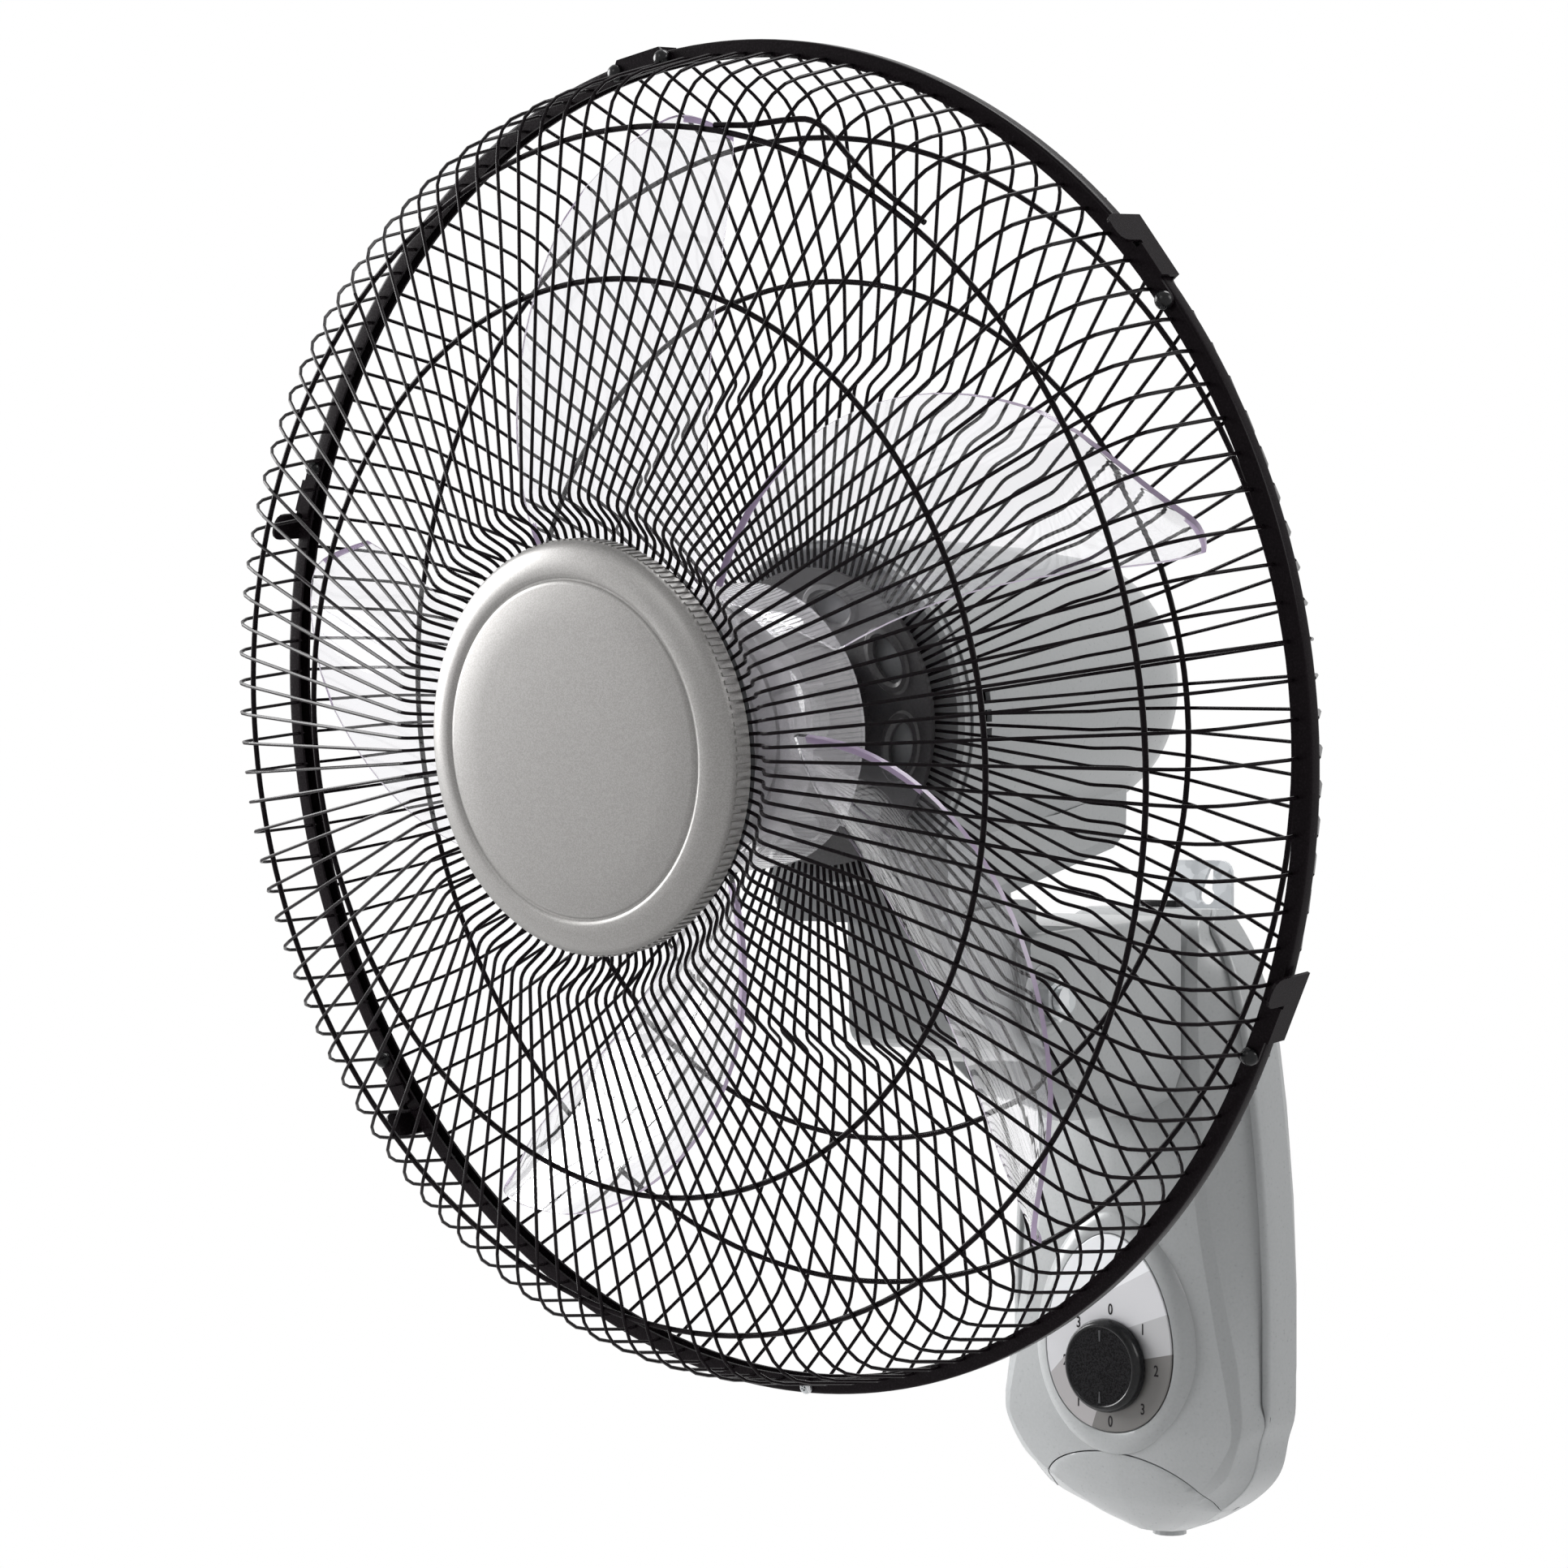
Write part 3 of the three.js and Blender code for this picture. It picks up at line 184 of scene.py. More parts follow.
def around(face):
    """A face's angle round the head's axis."""
    middle = face.calc_center_median()
    return atan2(middle.x, middle.z)


def chain(bm, points, closed=False):
    """A line of edges through the points."""
    verts = [bm.verts.new(p) for p in points]
    pairs = list(zip(verts, verts[1:])) + ([(verts[-1], verts[0])] if closed else [])
    return verts, [bm.edges.new(pair) for pair in pairs]


def full_spin(bm, geom, steps, centre=(0, 0, 0), axis=(0, 1, 0)):
    """Spins a profile all the way round."""
    bmesh.ops.spin(bm, geom=geom, cent=centre, axis=axis, dvec=(0, 0, 0),
                   angle=2 * pi, steps=steps, use_merge=True, use_duplicate=False)


def turn(bm, profile, steps=96, closed=False):
    """Turns a profile of (radius, depth) about the head's axis."""
    verts, edges = chain(bm, [at(r, -d, 0) for r, d in profile], closed)
    full_spin(bm, verts + edges, steps)
    bmesh.ops.remove_doubles(bm, verts=bm.verts, dist=WELD)


def copies(bm, count):
    """Repeats all of a mesh round the head's axis."""
    bmesh.ops.spin(bm, geom=all_of(bm), cent=(0, 0, 0), axis=(0, 1, 0), dvec=(0, 0, 0),
                   angle=2 * pi * (count - 1) / count, steps=count - 1,
                   use_merge=False, use_duplicate=True)


def sweep(bm, path, radius, sides=8, across=Vector((1, 0, 0)), squash=1.0):
    """A round bar along a flat path; across is square to the path's plane."""
    def station(i):
        along = (path[min(i + 1, len(path) - 1)] - path[max(i - 1, 0)]).normalized()
        side = along.cross(across) * squash
        m = Matrix((across, side, along)).transposed().to_4x4()
        m.translation = path[i]
        return m

    here = station(0)
    ring = bmesh.ops.create_circle(bm, cap_ends=True, radius=radius, segments=sides, matrix=here)
    tip = ring["verts"][0].link_faces[0]
    for i in range(1, len(path)):
        grown = bmesh.ops.extrude_face_region(bm, geom=[tip])["geom"]
        tip = next(g for g in grown if isinstance(g, bmesh.types.BMFace))
        there = station(i)
        bmesh.ops.transform(bm, matrix=there @ here.inverted(), verts=only_verts(grown))
        here = there


def sheet(bm, rows):
    """A grid whose vertices take the rows' points; rows that end where they start close up."""
    across, along = len(rows[0]) - 1, len(rows) - 1
    made = bmesh.ops.create_grid(bm, x_segments=across, y_segments=along, size=0.5)["verts"]
    for vert in made:
        vert.co = rows[round((vert.co.y + 0.5) * along)][round((vert.co.x + 0.5) * across)]
    bmesh.ops.remove_doubles(bm, verts=made, dist=WELD)


def cap(bm):
    """Closes every open end with a face."""
    bmesh.ops.holes_fill(bm, edges=[e for e in bm.edges if e.is_boundary], sides=0)


def shell(bm, thick):
    """Gives a sheet its wall, inwards from its outer face."""
    bmesh.ops.recalc_face_normals(bm, faces=bm.faces)
    bmesh.ops.solidify(bm, geom=all_of(bm), thickness=thick * MM)


def slab(bm, outline, matrix, thick):
    """A plate: the outline [(x, y)] placed by matrix and thickened along its own Z."""
    verts = [bm.verts.new(matrix @ at(x, y, 0)) for x, y in outline]
    face = bm.faces.new(verts)
    grown = bmesh.ops.extrude_face_region(bm, geom=[face])["geom"]
    bmesh.ops.translate(bm, vec=matrix.to_3x3() @ at(0, 0, thick), verts=only_verts(grown))


def block(bm, low, high):
    """A box between two corners."""
    low, high = at(*low), at(*high)
    size = high - low
    matrix = Matrix.Translation((low + high) / 2) @ Matrix.Diagonal((*size, 1))
    return bmesh.ops.create_cube(bm, size=1, matrix=matrix)["verts"]


def raise_face(bm, face, lift):
    """Lifts one face straight out from the head's axis."""
    grown = bmesh.ops.extrude_discrete_faces(bm, faces=[face])["faces"][0]
    out = grown.calc_center_median().copy()
    out.y = 0
    bmesh.ops.translate(bm, vec=out.normalized() * lift * MM, verts=grown.verts[:])


def soften(bm, width, segments=2, angle=30):
    """Rounds the edges that are sharper than the angle."""
    bm.normal_update()
    sharp = [e for e in bm.edges if e.is_manifold and e.calc_face_angle(0) > radians(angle)]
    bmesh.ops.bevel(bm, geom=sharp, offset=width * MM, segments=segments, profile=0.5,
                    affect="EDGES", clamp_overlap=True, material=-1)


def piece(name, bm, finish, body, stands_for=(), place=None, crease=32, outwards=True):
    """Joins the seams, turns the faces outwards and hands the piece to its body."""
    if place is not None:
        bmesh.ops.transform(bm, matrix=place, verts=bm.verts)
    bmesh.ops.remove_doubles(bm, verts=bm.verts, dist=WELD)
    if outwards:
        bmesh.ops.recalc_face_normals(bm, faces=bm.faces)
    mesh = bpy.data.meshes.new(name)
    bm.to_mesh(mesh)
    bm.free()
    mesh.shade_smooth()
    mesh.set_sharp_from_angle(angle=radians(crease))
    obj = bpy.data.objects.new(name, mesh)
    scene.collection.objects.link(obj)
    for material in finish if isinstance(finish, (list, tuple)) else [finish]:
        mesh.materials.append(material)
    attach(obj, body)
    if stands_for:
        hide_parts(*([stands_for] if isinstance(stands_for, str) else stands_for))
    return obj


# ------------------------------------------------------------------ finishes
def surface(name, colour, roughness, metallic=0.0):
    """A material whose shader has its plain values set, ready for its grain."""
    material = bpy.data.materials.new(name)
    material.use_nodes = True
    shader = material.node_tree.nodes["Principled BSDF"]
    shader.inputs["Base Color"].default_value = (*colour, 1)
    shader.inputs["Roughness"].default_value = roughness
    shader.inputs["Metallic"].default_value = metallic
    return material, shader


def grain(material, shader, scale, colours=None, roughness=None, bump=0.0, detail=4.0, flakes=False,
          height=0.0002):
    """Gives a finish its grain: noise or flakes in object space for colour, gloss and relief."""
    tree = material.node_tree
    place = tree.nodes.new("ShaderNodeTexCoord")
    if flakes:
        speck = tree.nodes.new("ShaderNodeTexVoronoi")
        value = speck.outputs["Color"]
    else:
        speck = tree.nodes.new("ShaderNodeTexNoise")
        speck.inputs["Detail"].default_value = detail
        value = speck.outputs["Fac"]
    speck.inputs["Scale"].default_value = scale
    tree.links.new(place.outputs["Object"], speck.inputs["Vector"])

    def ramp(low, high, target):
        node = tree.nodes.new("ShaderNodeValToRGB")
        node.color_ramp.elements[0].position = 0.3
        node.color_ramp.elements[1].position = 0.7
        node.color_ramp.elements[0].color = (*low, 1)
        node.color_ramp.elements[1].color = (*high, 1)
        tree.links.new(value, node.inputs["Fac"])
        tree.links.new(node.outputs["Color"], target)

    if colours:
        ramp(colours[0], colours[1], shader.inputs["Base Color"])
    if roughness:
        ramp([roughness[0]] * 3, [roughness[1]] * 3, shader.inputs["Roughness"])
    if bump:
        node = tree.nodes.new("ShaderNodeBump")
        node.inputs["Strength"].default_value = bump
        node.inputs["Distance"].default_value = height
        tree.links.new(value, node.inputs["Height"])
        tree.links.new(node.outputs["Normal"], shader.inputs["Normal"])


def grained(name, colour, roughness, scale, colours, gloss, bump, metallic=0.0, specular=None,
            flakes=False):
    """An opaque finish with its grain; the specular level stays as it comes where none is given."""
    material, shader = surface(name, colour, roughness, metallic)
    if specular is not None:
        shader.inputs["Specular IOR Level"].default_value = specular
    grain(material, shader, scale, colours, gloss, bump, flakes=flakes)
    return material


def clear_blade(name, colour, roughness, clarity, ripple):
    """Clear plastic whose face ripples a little; clarity is the share of light it lets through."""
    material, shader = surface(name, colour, roughness)
    shader.inputs["Transmission Weight"].default_value = clarity
    shader.inputs["IOR"].default_value = 1.47
    grain(material, shader, 26, None, (roughness, roughness + 0.02), ripple, detail=0.0,
          height=0.002)
    return material


def math_node(tree, operation, *values):
    """A Math node's output; each value is a number or another node's output."""
    node = tree.nodes.new("ShaderNodeMath")
    node.operation = operation
    for socket, value in zip(node.inputs, values):
        if isinstance(value, (int, float)):
            socket.default_value = value
        else:
            tree.links.new(value, socket)
    return node.outputs["Value"]


def dial_print():
    """The dial's silver face in five tints, each bounded by straight lines."""
    material, shader = surface("dial_silver", (0.5, 0.5, 0.51), 0.36, 0.25)
    tree = material.node_tree
    place = tree.nodes.new("ShaderNodeTexCoord")

    def beyond(start, end):
        """1 to the right of the line from start to end on the dial's face, 0 to its left."""
        along = Vector(end) - Vector(start)
        normal = Vector((along.y, 0, -along.x)).normalized()
        shift = at(start[0], 0, start[1] + DIAL_Z)
        dot = tree.nodes.new("ShaderNodeVectorMath")
        dot.operation = "DOT_PRODUCT"
        dot.inputs[1].default_value = normal
        tree.links.new(place.outputs["Object"], dot.inputs[0])
        return math_node(tree, "GREATER_THAN", dot.outputs["Value"], normal.dot(shift))

    def both(a, b):
        return math_node(tree, "MULTIPLY", a, b)

    def tint(under, where, colour):
        node = tree.nodes.new("ShaderNodeMix")
        node.data_type = "RGBA"
        tree.links.new(where, node.inputs["Factor"])
        if under is None:
            node.inputs["A"].default_value = (0.76, 0.77, 0.79, 1)
        else:
            tree.links.new(under, node.inputs["A"])
        node.inputs["B"].default_value = (*colour, 1)
        return node.outputs["Result"]

    right = beyond((0, 0), (0, 9))
    left_of_bottom = beyond((-5.5, -18.1), (-7.4, -23.4))
    right_of_bottom = beyond((-7.4, -23.4), (-5.5, -18.1))
    faces = tint(None, beyond((3, 29), (20.3, 37.7)), (0.58, 0.58, 0.6))
    faces = tint(faces, both(right, beyond((9.6, 15), (26.9, 21.3))), (0.42, 0.42, 0.43))
    faces = tint(faces, both(right_of_bottom, beyond((0, 0), (27.6, 6.4))), (0.155, 0.15, 0.145))
    low_left = both(left_of_bottom, beyond((-20, 2), (20, 2)))
    faces = tint(faces, both(low_left, beyond((-25.1, -3.6), (-21.3, 0.4))), (0.37, 0.355, 0.36))
    tree.links.new(faces, shader.inputs["Base Color"])
    grain(material, shader, 900, None, (0.32, 0.4), 0.03)
    return material


GREY = grained("satin_grey_plastic", (0.36, 0.37, 0.375), 0.3, 900,
               ((0.345, 0.355, 0.36), (0.375, 0.385, 0.39)), (0.27, 0.34), 0.04)
SILVER = grained("silver_flake_plastic", (0.3, 0.292, 0.284), 0.42, 3200,
                 ((0.27, 0.262, 0.254), (0.33, 0.322, 0.314)), (0.38, 0.46), 0.03,
                 metallic=0.4, flakes=True)
BLACK = grained("black_enamel", (0.008, 0.006, 0.0075), 0.3, 1500,
                ((0.006, 0.0042, 0.0052), (0.012, 0.009, 0.011)), (0.2, 0.3), 0.06, specular=0.04)
SPARKLE = grained("black_sparkle_plastic", (0.009, 0.009, 0.01), 0.5, 2000,
                  ((0.003, 0.003, 0.0035), (0.013, 0.0125, 0.014)), (0.34, 0.6), 0.5,
                  specular=0.05, flakes=True)
GLOSS = grained("black_gloss_plastic", (0.01, 0.01, 0.011), 0.2, 900,
                ((0.008, 0.008, 0.009), (0.014, 0.014, 0.015)), (0.16, 0.26), 0.03, specular=0.2)
SATIN = grained("black_satin_plastic", (0.04, 0.038, 0.04), 0.36, 1400,
                ((0.032, 0.03, 0.032), (0.05, 0.048, 0.05)), (0.32, 0.42), 0.15)
DARK = grained("dark_moulding", (0.032, 0.033, 0.036), 0.45, 800,
               ((0.028, 0.029, 0.032), (0.037, 0.038, 0.042)), (0.4, 0.5), 0.08)
INK = grained("dark_print", (0.02, 0.018, 0.02), 0.5, 2000,
              ((0.016, 0.014, 0.016), (0.026, 0.024, 0.026)), (0.45, 0.55), 0.05, specular=0.1)
ZINC = grained("zinc_plate", (0.5, 0.52, 0.53), 0.35, 300,
               ((0.44, 0.46, 0.47), (0.56, 0.57, 0.58)), (0.28, 0.45), 0.05,
               metallic=0.9, flakes=True)
STEEL = grained("galvanised_steel", (0.5, 0.52, 0.54), 0.4, 260,
                ((0.44, 0.46, 0.48), (0.56, 0.58, 0.6)), (0.34, 0.5), 0.1,
                metallic=0.3, flakes=True)
COPPER = grained("varnished_copper", (0.45, 0.2, 0.09), 0.35, 1200,
                 ((0.38, 0.16, 0.07), (0.52, 0.24, 0.11)), None, 0.3, metallic=0.8)
IRON = grained("stamped_laminations", (0.12, 0.125, 0.13), 0.5, 700,
               ((0.1, 0.1, 0.105), (0.15, 0.155, 0.16)), (0.4, 0.6), 0.1, metallic=0.7)
NYLON = grained("natural_nylon", (0.7, 0.68, 0.62), 0.45, 500,
                ((0.66, 0.64, 0.58), (0.74, 0.72, 0.66)), (0.4, 0.5), 0.05)
CLEAR = clear_blade("clear_blade", (0.955, 0.95, 0.97), 0.01, 0.98, 0.7)
VIOLET = clear_blade("violet_blade_edge", (0.6, 0.48, 0.68), 0.22, 0.3, 0.1)
CUP = clear_blade("clear_hub", (0.97, 0.96, 0.98), 0.02, 0.8, 0.5)
DIAL = dial_print()


# ------------------------------------------------------------------ wire guards and rim
def wire_cage(name, outline, bends, node):
    """One bent wire, repeated all the way round."""
    bm = bmesh.new()
    sweep(bm, [at(0, -d, r) for r, d in rounded(outline, bends, steps=4)], WIRE_R * MM, sides=6)
    copies(bm, WIRES)
    return piece(name, bm, BLACK, "head", node, HEAD, crease=60)


def hoop(name, node, r, d):
    bm = bmesh.new()
    profile = [(r + HOOP_R * cos(a), d + HOOP_R * sin(a)) for a in
               (2 * pi * k / 8 for k in range(8))]
    turn(bm, profile, steps=160, closed=True)
    return piece(name, bm, BLACK, "head", node, HEAD, crease=60)


def rim():
    """A rolled channel, open towards the middle, with the wires' end rings in it."""
    bm = bmesh.new()
    inner = RIM_R - RIM_DEPTH
    wall = RIM_R - RIM_SHEET
    outside = [(inner, 0), (RIM_R, 0), (RIM_R, -RIM_WIDTH), (inner, -RIM_WIDTH)]
    inside = [(inner, -RIM_SHEET), (wall, -RIM_SHEET), (wall, RIM_SHEET - RIM_WIDTH),
              (inner, RIM_SHEET - RIM_WIDTH)]
    section = rounded(outside, [1.2, 1.2], 4) + rounded(inside, [0.5, 0.5], 2)[::-1]
    turn(bm, section, steps=240, closed=True)
    return piece("rim_channel", bm, BLACK, "head", "rim_band", HEAD)


def ring_end():
    """The outer front ring's second end, which leaves the ring and runs on beside it."""
    stations = [(197.5, 13), (199.5, 17), (203.5, 20.3), (206.8, 23), (206, 25.2), (202, 28.6),
                (199.6, 31.5), (198.6, 35), (198.8, 39.2)]
    bm = bmesh.new()
    path = []
    for r, angle in stations:
        a = radians(angle)
        depth = 41.6 - (r - 196) * 0.294
        path.append(at(r * sin(a), -depth, r * cos(a)))
    smooth = rounded(path, [14 * MM] * (len(path) - 2), 3)
    sweep(bm, smooth, HOOP_R * MM, sides=8, across=Vector((0, 1, 0)))
    return piece("ring_free_end", bm, BLACK, "head", (), HEAD, crease=60)


wire_cage("front_wires", FRONT_WIRE, FRONT_BENDS, "front_guard")
wire_cage("rear_wires", REAR_WIRE, REAR_BENDS, "rear_guard")
for node, (radius, depth) in {**FRONT_HOOPS, **REAR_HOOPS}.items():
    hoop(node + "_hoop", node, radius, depth)
rim()
ring_end()


# ------------------------------------------------------------------ badge
def badge():
    """A domed disc in a groove, a sloping border and a reeded side."""
    bm = bmesh.new()
    profile = [(0, 82.2), (20, 82.1), (40, 81.6), (52.4, 80.9), (53.4, 80.6), (53.9, 80.0),
               (54.6, 80.0), (55.1, 80.5), (56.2, 80.8), (60, 80.2), (63.6, 78.9), (65.2, 77.7),
               (66.1, 76.4), (66.3, 75.2), (66.3, 69.3), (66.0, 68.5), (64.6, 68.5), (64.4, 75),
               (62, 77), (0, 79)]
    turn(bm, profile, steps=320)
    side = [f for f in bm.faces if abs(f.calc_center_median().y + 72.2 * MM) < 1.5 * MM
            and off_axis(f.calc_center_median()) > 65.5 * MM]
    side.sort(key=around)
    bm.normal_update()
    for face in side[::2]:
        raise_face(bm, face, REED)
    return piece("badge_disc", bm, SILVER, "head", "badge", HEAD, crease=40)


def badge_back():
    bm = bmesh.new()
    turn(bm, [(0, 66.1), (60, 66.1), (63.5, 65.6), (64.4, 64.6), (60, 63.2), (0, 63.2)], steps=96)
    return piece("badge_clamp", bm, DARK, "head", "badge_backing", HEAD)


badge()
badge_back()


# ------------------------------------------------------------------ guard plate and lock nut
def guard_plate():
    """A moulded disc with embossed oval windows; one eighth is made and repeated."""
    half = pi / WINDOWS
    outer = [(PLATE_R, half * (1 - k / 7)) for k in range(15)]
    inner = [(PLATE_BORE, half * (k / 3 - 1)) for k in range(7)]
    side = [PLATE_BORE + (PLATE_R - PLATE_BORE) * k / 12 for k in range(1, 12)]
    border = outer + [(r, -half) for r in reversed(side)] + inner + [(r, half) for r in side]
    border = [Vector((r * sin(a), r * cos(a))) for r, a in border]
    border.append(border[0].copy())

    def row(grow, share, lift):
        """The window's edge grown by a factor, moved a share of the way to the border."""
        points = []
        for p in border:
            away = p - Vector((0, WINDOW_R))
            a = atan2(away.x, away.y)
            edge = Vector((WINDOW_LONG * sin(a), WINDOW_R + WINDOW_WIDE * cos(a)))
            edge = Vector((edge.x * grow, WINDOW_R + (edge.y - WINDOW_R) * grow))
            spot = edge.lerp(p, share)
            points.append(at(spot.x, 0.2 - PLATE_D - lift, spot.y))
        return points

    bm = bmesh.new()
    steps = [(1.0, 0, -0.6), (1.02, 0, 0.5), (1.1, 0, 1.0), (1.2, 0, 0.9), (1.3, 0, 0.1),
             (1.3, 0.35, 0), (1.3, 0.7, 0), (1.3, 1, 0)]
    sheet(bm, [row(*step) for step in steps])
    bmesh.ops.rotate(bm, verts=bm.verts, cent=(0, 0, 0),
                     matrix=Matrix.Rotation(radians(WINDOW_TURN), 3, "Y"))
    copies(bm, WINDOWS)
    bmesh.ops.remove_doubles(bm, verts=bm.verts, dist=5e-5)
    bmesh.ops.recalc_face_normals(bm, faces=bm.faces)
    bmesh.ops.solidify(bm, geom=all_of(bm), thickness=PLATE_SHEET * MM)
    inside, front, back = PLATE_R - 1.2, PLATE_D + 0.4, PLATE_D - 1.4
    band = [(inside, front), (PLATE_R, front), (PLATE_R, back), (inside, back)]
    turn(bm, rounded(band, [0.5, 0.3], 3), closed=True)
    return piece("guard_disc", bm, SATIN, "head", "guard_plate", HEAD)


def lock_nut():
    """A moulded ring nut with finger ribs."""
    bm = bmesh.new()
    turn(bm, [(11.8, -39.3), (NUT_R, -39.3), (NUT_R, -34), (22.6, -32.4), (19, -31.7),
              (11.8, -31.5)], closed=True)
    bm.normal_update()
    side = [f for f in bm.faces if abs(off_axis(f.calc_center_median()) - NUT_R * MM) < 0.1 * MM]
    side.sort(key=around)
    for k, face in enumerate(side):
        if k % 8 < 3:
            raise_face(bm, face, NUT_RIB)
    return piece("plate_ring_nut", bm, SATIN, "head", "guard_lock_nut", HEAD)


guard_plate()
lock_nut()


# ------------------------------------------------------------------ impeller
def blade_grid(bm):
    """One blade as a sheet: u runs outwards, v from the trailing edge to the leading edge."""
    rows, cols = 24, 14
    root = HUB_R - 1.5
    span = BLADE_TIP - root

    def spread(k, count, first, last):
        """Even steps, with narrow ones at the ends that carry the tinted edge."""
        if k == 0:
            return 0.0
        if k == count:
            return 1.0
        return first + (1 - last - first) * (k - 1) / (count - 2)

    lines = []
    for j in range(cols + 1):
        line = []
        for i in range(rows + 1):
            u = spread(i, rows, 0.03, TINTED_EDGE / span)
            swell = sqrt(max(0.0, 1 - ((j / cols - 0.62) / 0.75) ** 2))
            r = root + span * u * (1 - u * u * (1 - swell) * 0.35)
            t = (r - root) / span
            trail = -56 + 50 * t ** 1.45
            lead = -17 + 20 * t ** 0.8 - 3 * t ** 8
            chord = max(8.0, radians(lead - trail) * r)
            tint = min(0.2, TINTED_EDGE / chord)
            v = spread(j, cols, tint, tint)
            angle = radians(2.4 + trail + (lead - trail) * v)
            rise = 9 - 3 * t + (0.5 - v) * (30 - 4 * t) + 5 * sin(pi * v)
            line.append(at(r * sin(angle), -rise, r * cos(angle)))
        lines.append(line)
    sheet(bm, lines)


def impeller():
    """A clear cup with inner walls and ribs, and five twisted blades tinted along their edges."""
    bm = bmesh.new()
    blade_grid(bm)
    bmesh.ops.recalc_face_normals(bm, faces=bm.faces)
    bmesh.ops.solidify(bm, geom=all_of(bm), thickness=BLADE_SHEET * MM)
    for face in bm.faces:
        away = off_axis(face.calc_center_median()) / MM
        narrow = min(e.calc_length() for e in face.edges) < 1.08 * TINTED_EDGE * MM
        if narrow and away > HUB_R + 4:
            face.material_index = 1
    copies(bm, BLADES)
    blades = len(bm.faces)
    cup = rounded([(8, HUB_FRONT), (HUB_R - 1, HUB_FRONT), (HUB_R, HUB_REAR)], [8], 6)
    inside = rounded([(HUB_R - 2, HUB_REAR), (HUB_R - 3, HUB_FRONT - 2), (10, HUB_FRONT - 2)],
                     [7], 6)
    bore = [(10, HUB_REAR + 0.5), (4.4, HUB_REAR + 0.5), (4.4, HUB_FRONT)]
    turn(bm, cup + inside + bore, closed=True)
    for radius, back in ((20, -2), (29, 2), (38, 8)):
        turn(bm, [(radius, HUB_FRONT - 2.5), (radius + 1.4, HUB_FRONT - 2.5), (radius + 1.4, back),
                  (radius, back)], closed=True)
    rib = bmesh.new()
    block(rib, (-0.7, -HUB_FRONT + 2.2, 9), (0.7, -6, HUB_R - 3.2))
    copies(rib, 2 * BLADES)
    mesh = bpy.data.meshes.new("hub_ribs")
    rib.to_mesh(mesh)
    rib.free()
    bm.from_mesh(mesh)
    bpy.data.meshes.remove(mesh)
    bm.faces.ensure_lookup_table()
    for face in bm.faces[blades:]:
        face.material_index = 2
    return piece("clear_impeller", bm, [CLEAR, VIOLET, CUP], "rotor", "impeller", HEAD)


def spinner():
    """The nut that holds the impeller."""
    bm = bmesh.new()
    turn(bm, [(0, 40), (9, 39.4), (12, 37), (13.5, 32), (14.5, 26.8), (4.4, 26.8), (4.4, 36.4),
              (0, 36.4)], steps=40)
    return piece("spinner_cap", bm, SATIN, "rotor", "spinner_nut", HEAD)


impeller()
spinner()


# ------------------------------------------------------------------ latches, rivets and rim screw
def rim_point(r, angle, d, aside=0.0):
    """A point at the rim, moved sideways (towards smaller angles) along the rim's tangent."""
    a = radians(angle)
    return at(r * sin(a) - aside * cos(a), -d, r * cos(a) + aside * sin(a))


def rivet(name, node, angle, aside=0.0):
    bm = bmesh.new()
    turn(bm, [(0, 4.1), (1.3, 3.9), (2.3, 3.2), (2.9, 2.2), (2.9, 1.3), (1.4, 1.2), (1.4, 0.1),
              (0, 0.1)], steps=32)
    bmesh.ops.translate(bm, vec=rim_point(222.2, angle, 0, aside), verts=bm.verts)
    return piece(name, bm, GLOSS, "head", node, HEAD)


def rim_screw():
    """A small pan head with a cross recess."""
    bm = bmesh.new()
    turn(bm, [(0, 1.5), (0.7, 1.5), (1.0, 2.2), (1.7, 2.0), (2.3, 1.3), (2.3, 0.3), (0, 0.3)],
         steps=32)
    for angle in (0, 90):
        arm = Matrix.Rotation(radians(angle + 20), 3, "Y")
        made = block(bm, (-1.2, -2.3, -0.2), (1.2, -1.4, 0.2))
        bmesh.ops.rotate(bm, verts=made, cent=(0, 0, 0), matrix=arm)
    bmesh.ops.translate(bm, vec=rim_point(222.6, RIM_SCREW, 0), verts=bm.verts)
    return piece("rim_clamp_screw", bm, ZINC, "head", "rim_screw", HEAD)


for index, angle in enumerate(LATCHES, start=1):
    rivet(f"rivet_head_{index}", f"latch_rivet_{index}", angle)
rivet("clip_head_left", "clip_rivet_left", CLIP, CLIP_HALF)
rivet("clip_head_right", "clip_rivet_right", CLIP, -CLIP_HALF)
rim_screw()


# ------------------------------------------------------------------ base
def base_level(share):
    """The half width, ridge and depth at a share of the base's height, eased between the levels."""
    i = max(k for k in range(len(BASE_LEVELS) - 1) if BASE_LEVELS[k][0] <= share)
    low, high = BASE_LEVELS[i], BASE_LEVELS[i + 1]
    before = BASE_LEVELS[max(i - 1, 0)]
    after = BASE_LEVELS[min(i + 2, len(BASE_LEVELS) - 1)]
    span = high[0] - low[0]
    t = (share - low[0]) / span
    values = []
    for c in (1, 2, 3):
        leave = (high[c] - before[c]) / (high[0] - before[0]) * span
        reach = (after[c] - low[c]) / (after[0] - low[0]) * span
        values.append(low[c] * (1 + 2 * t) * (1 - t) ** 2 + high[c] * t * t * (3 - 2 * t)
                      + leave * t * (1 - t) ** 2 - reach * t * t * (1 - t))
    return values


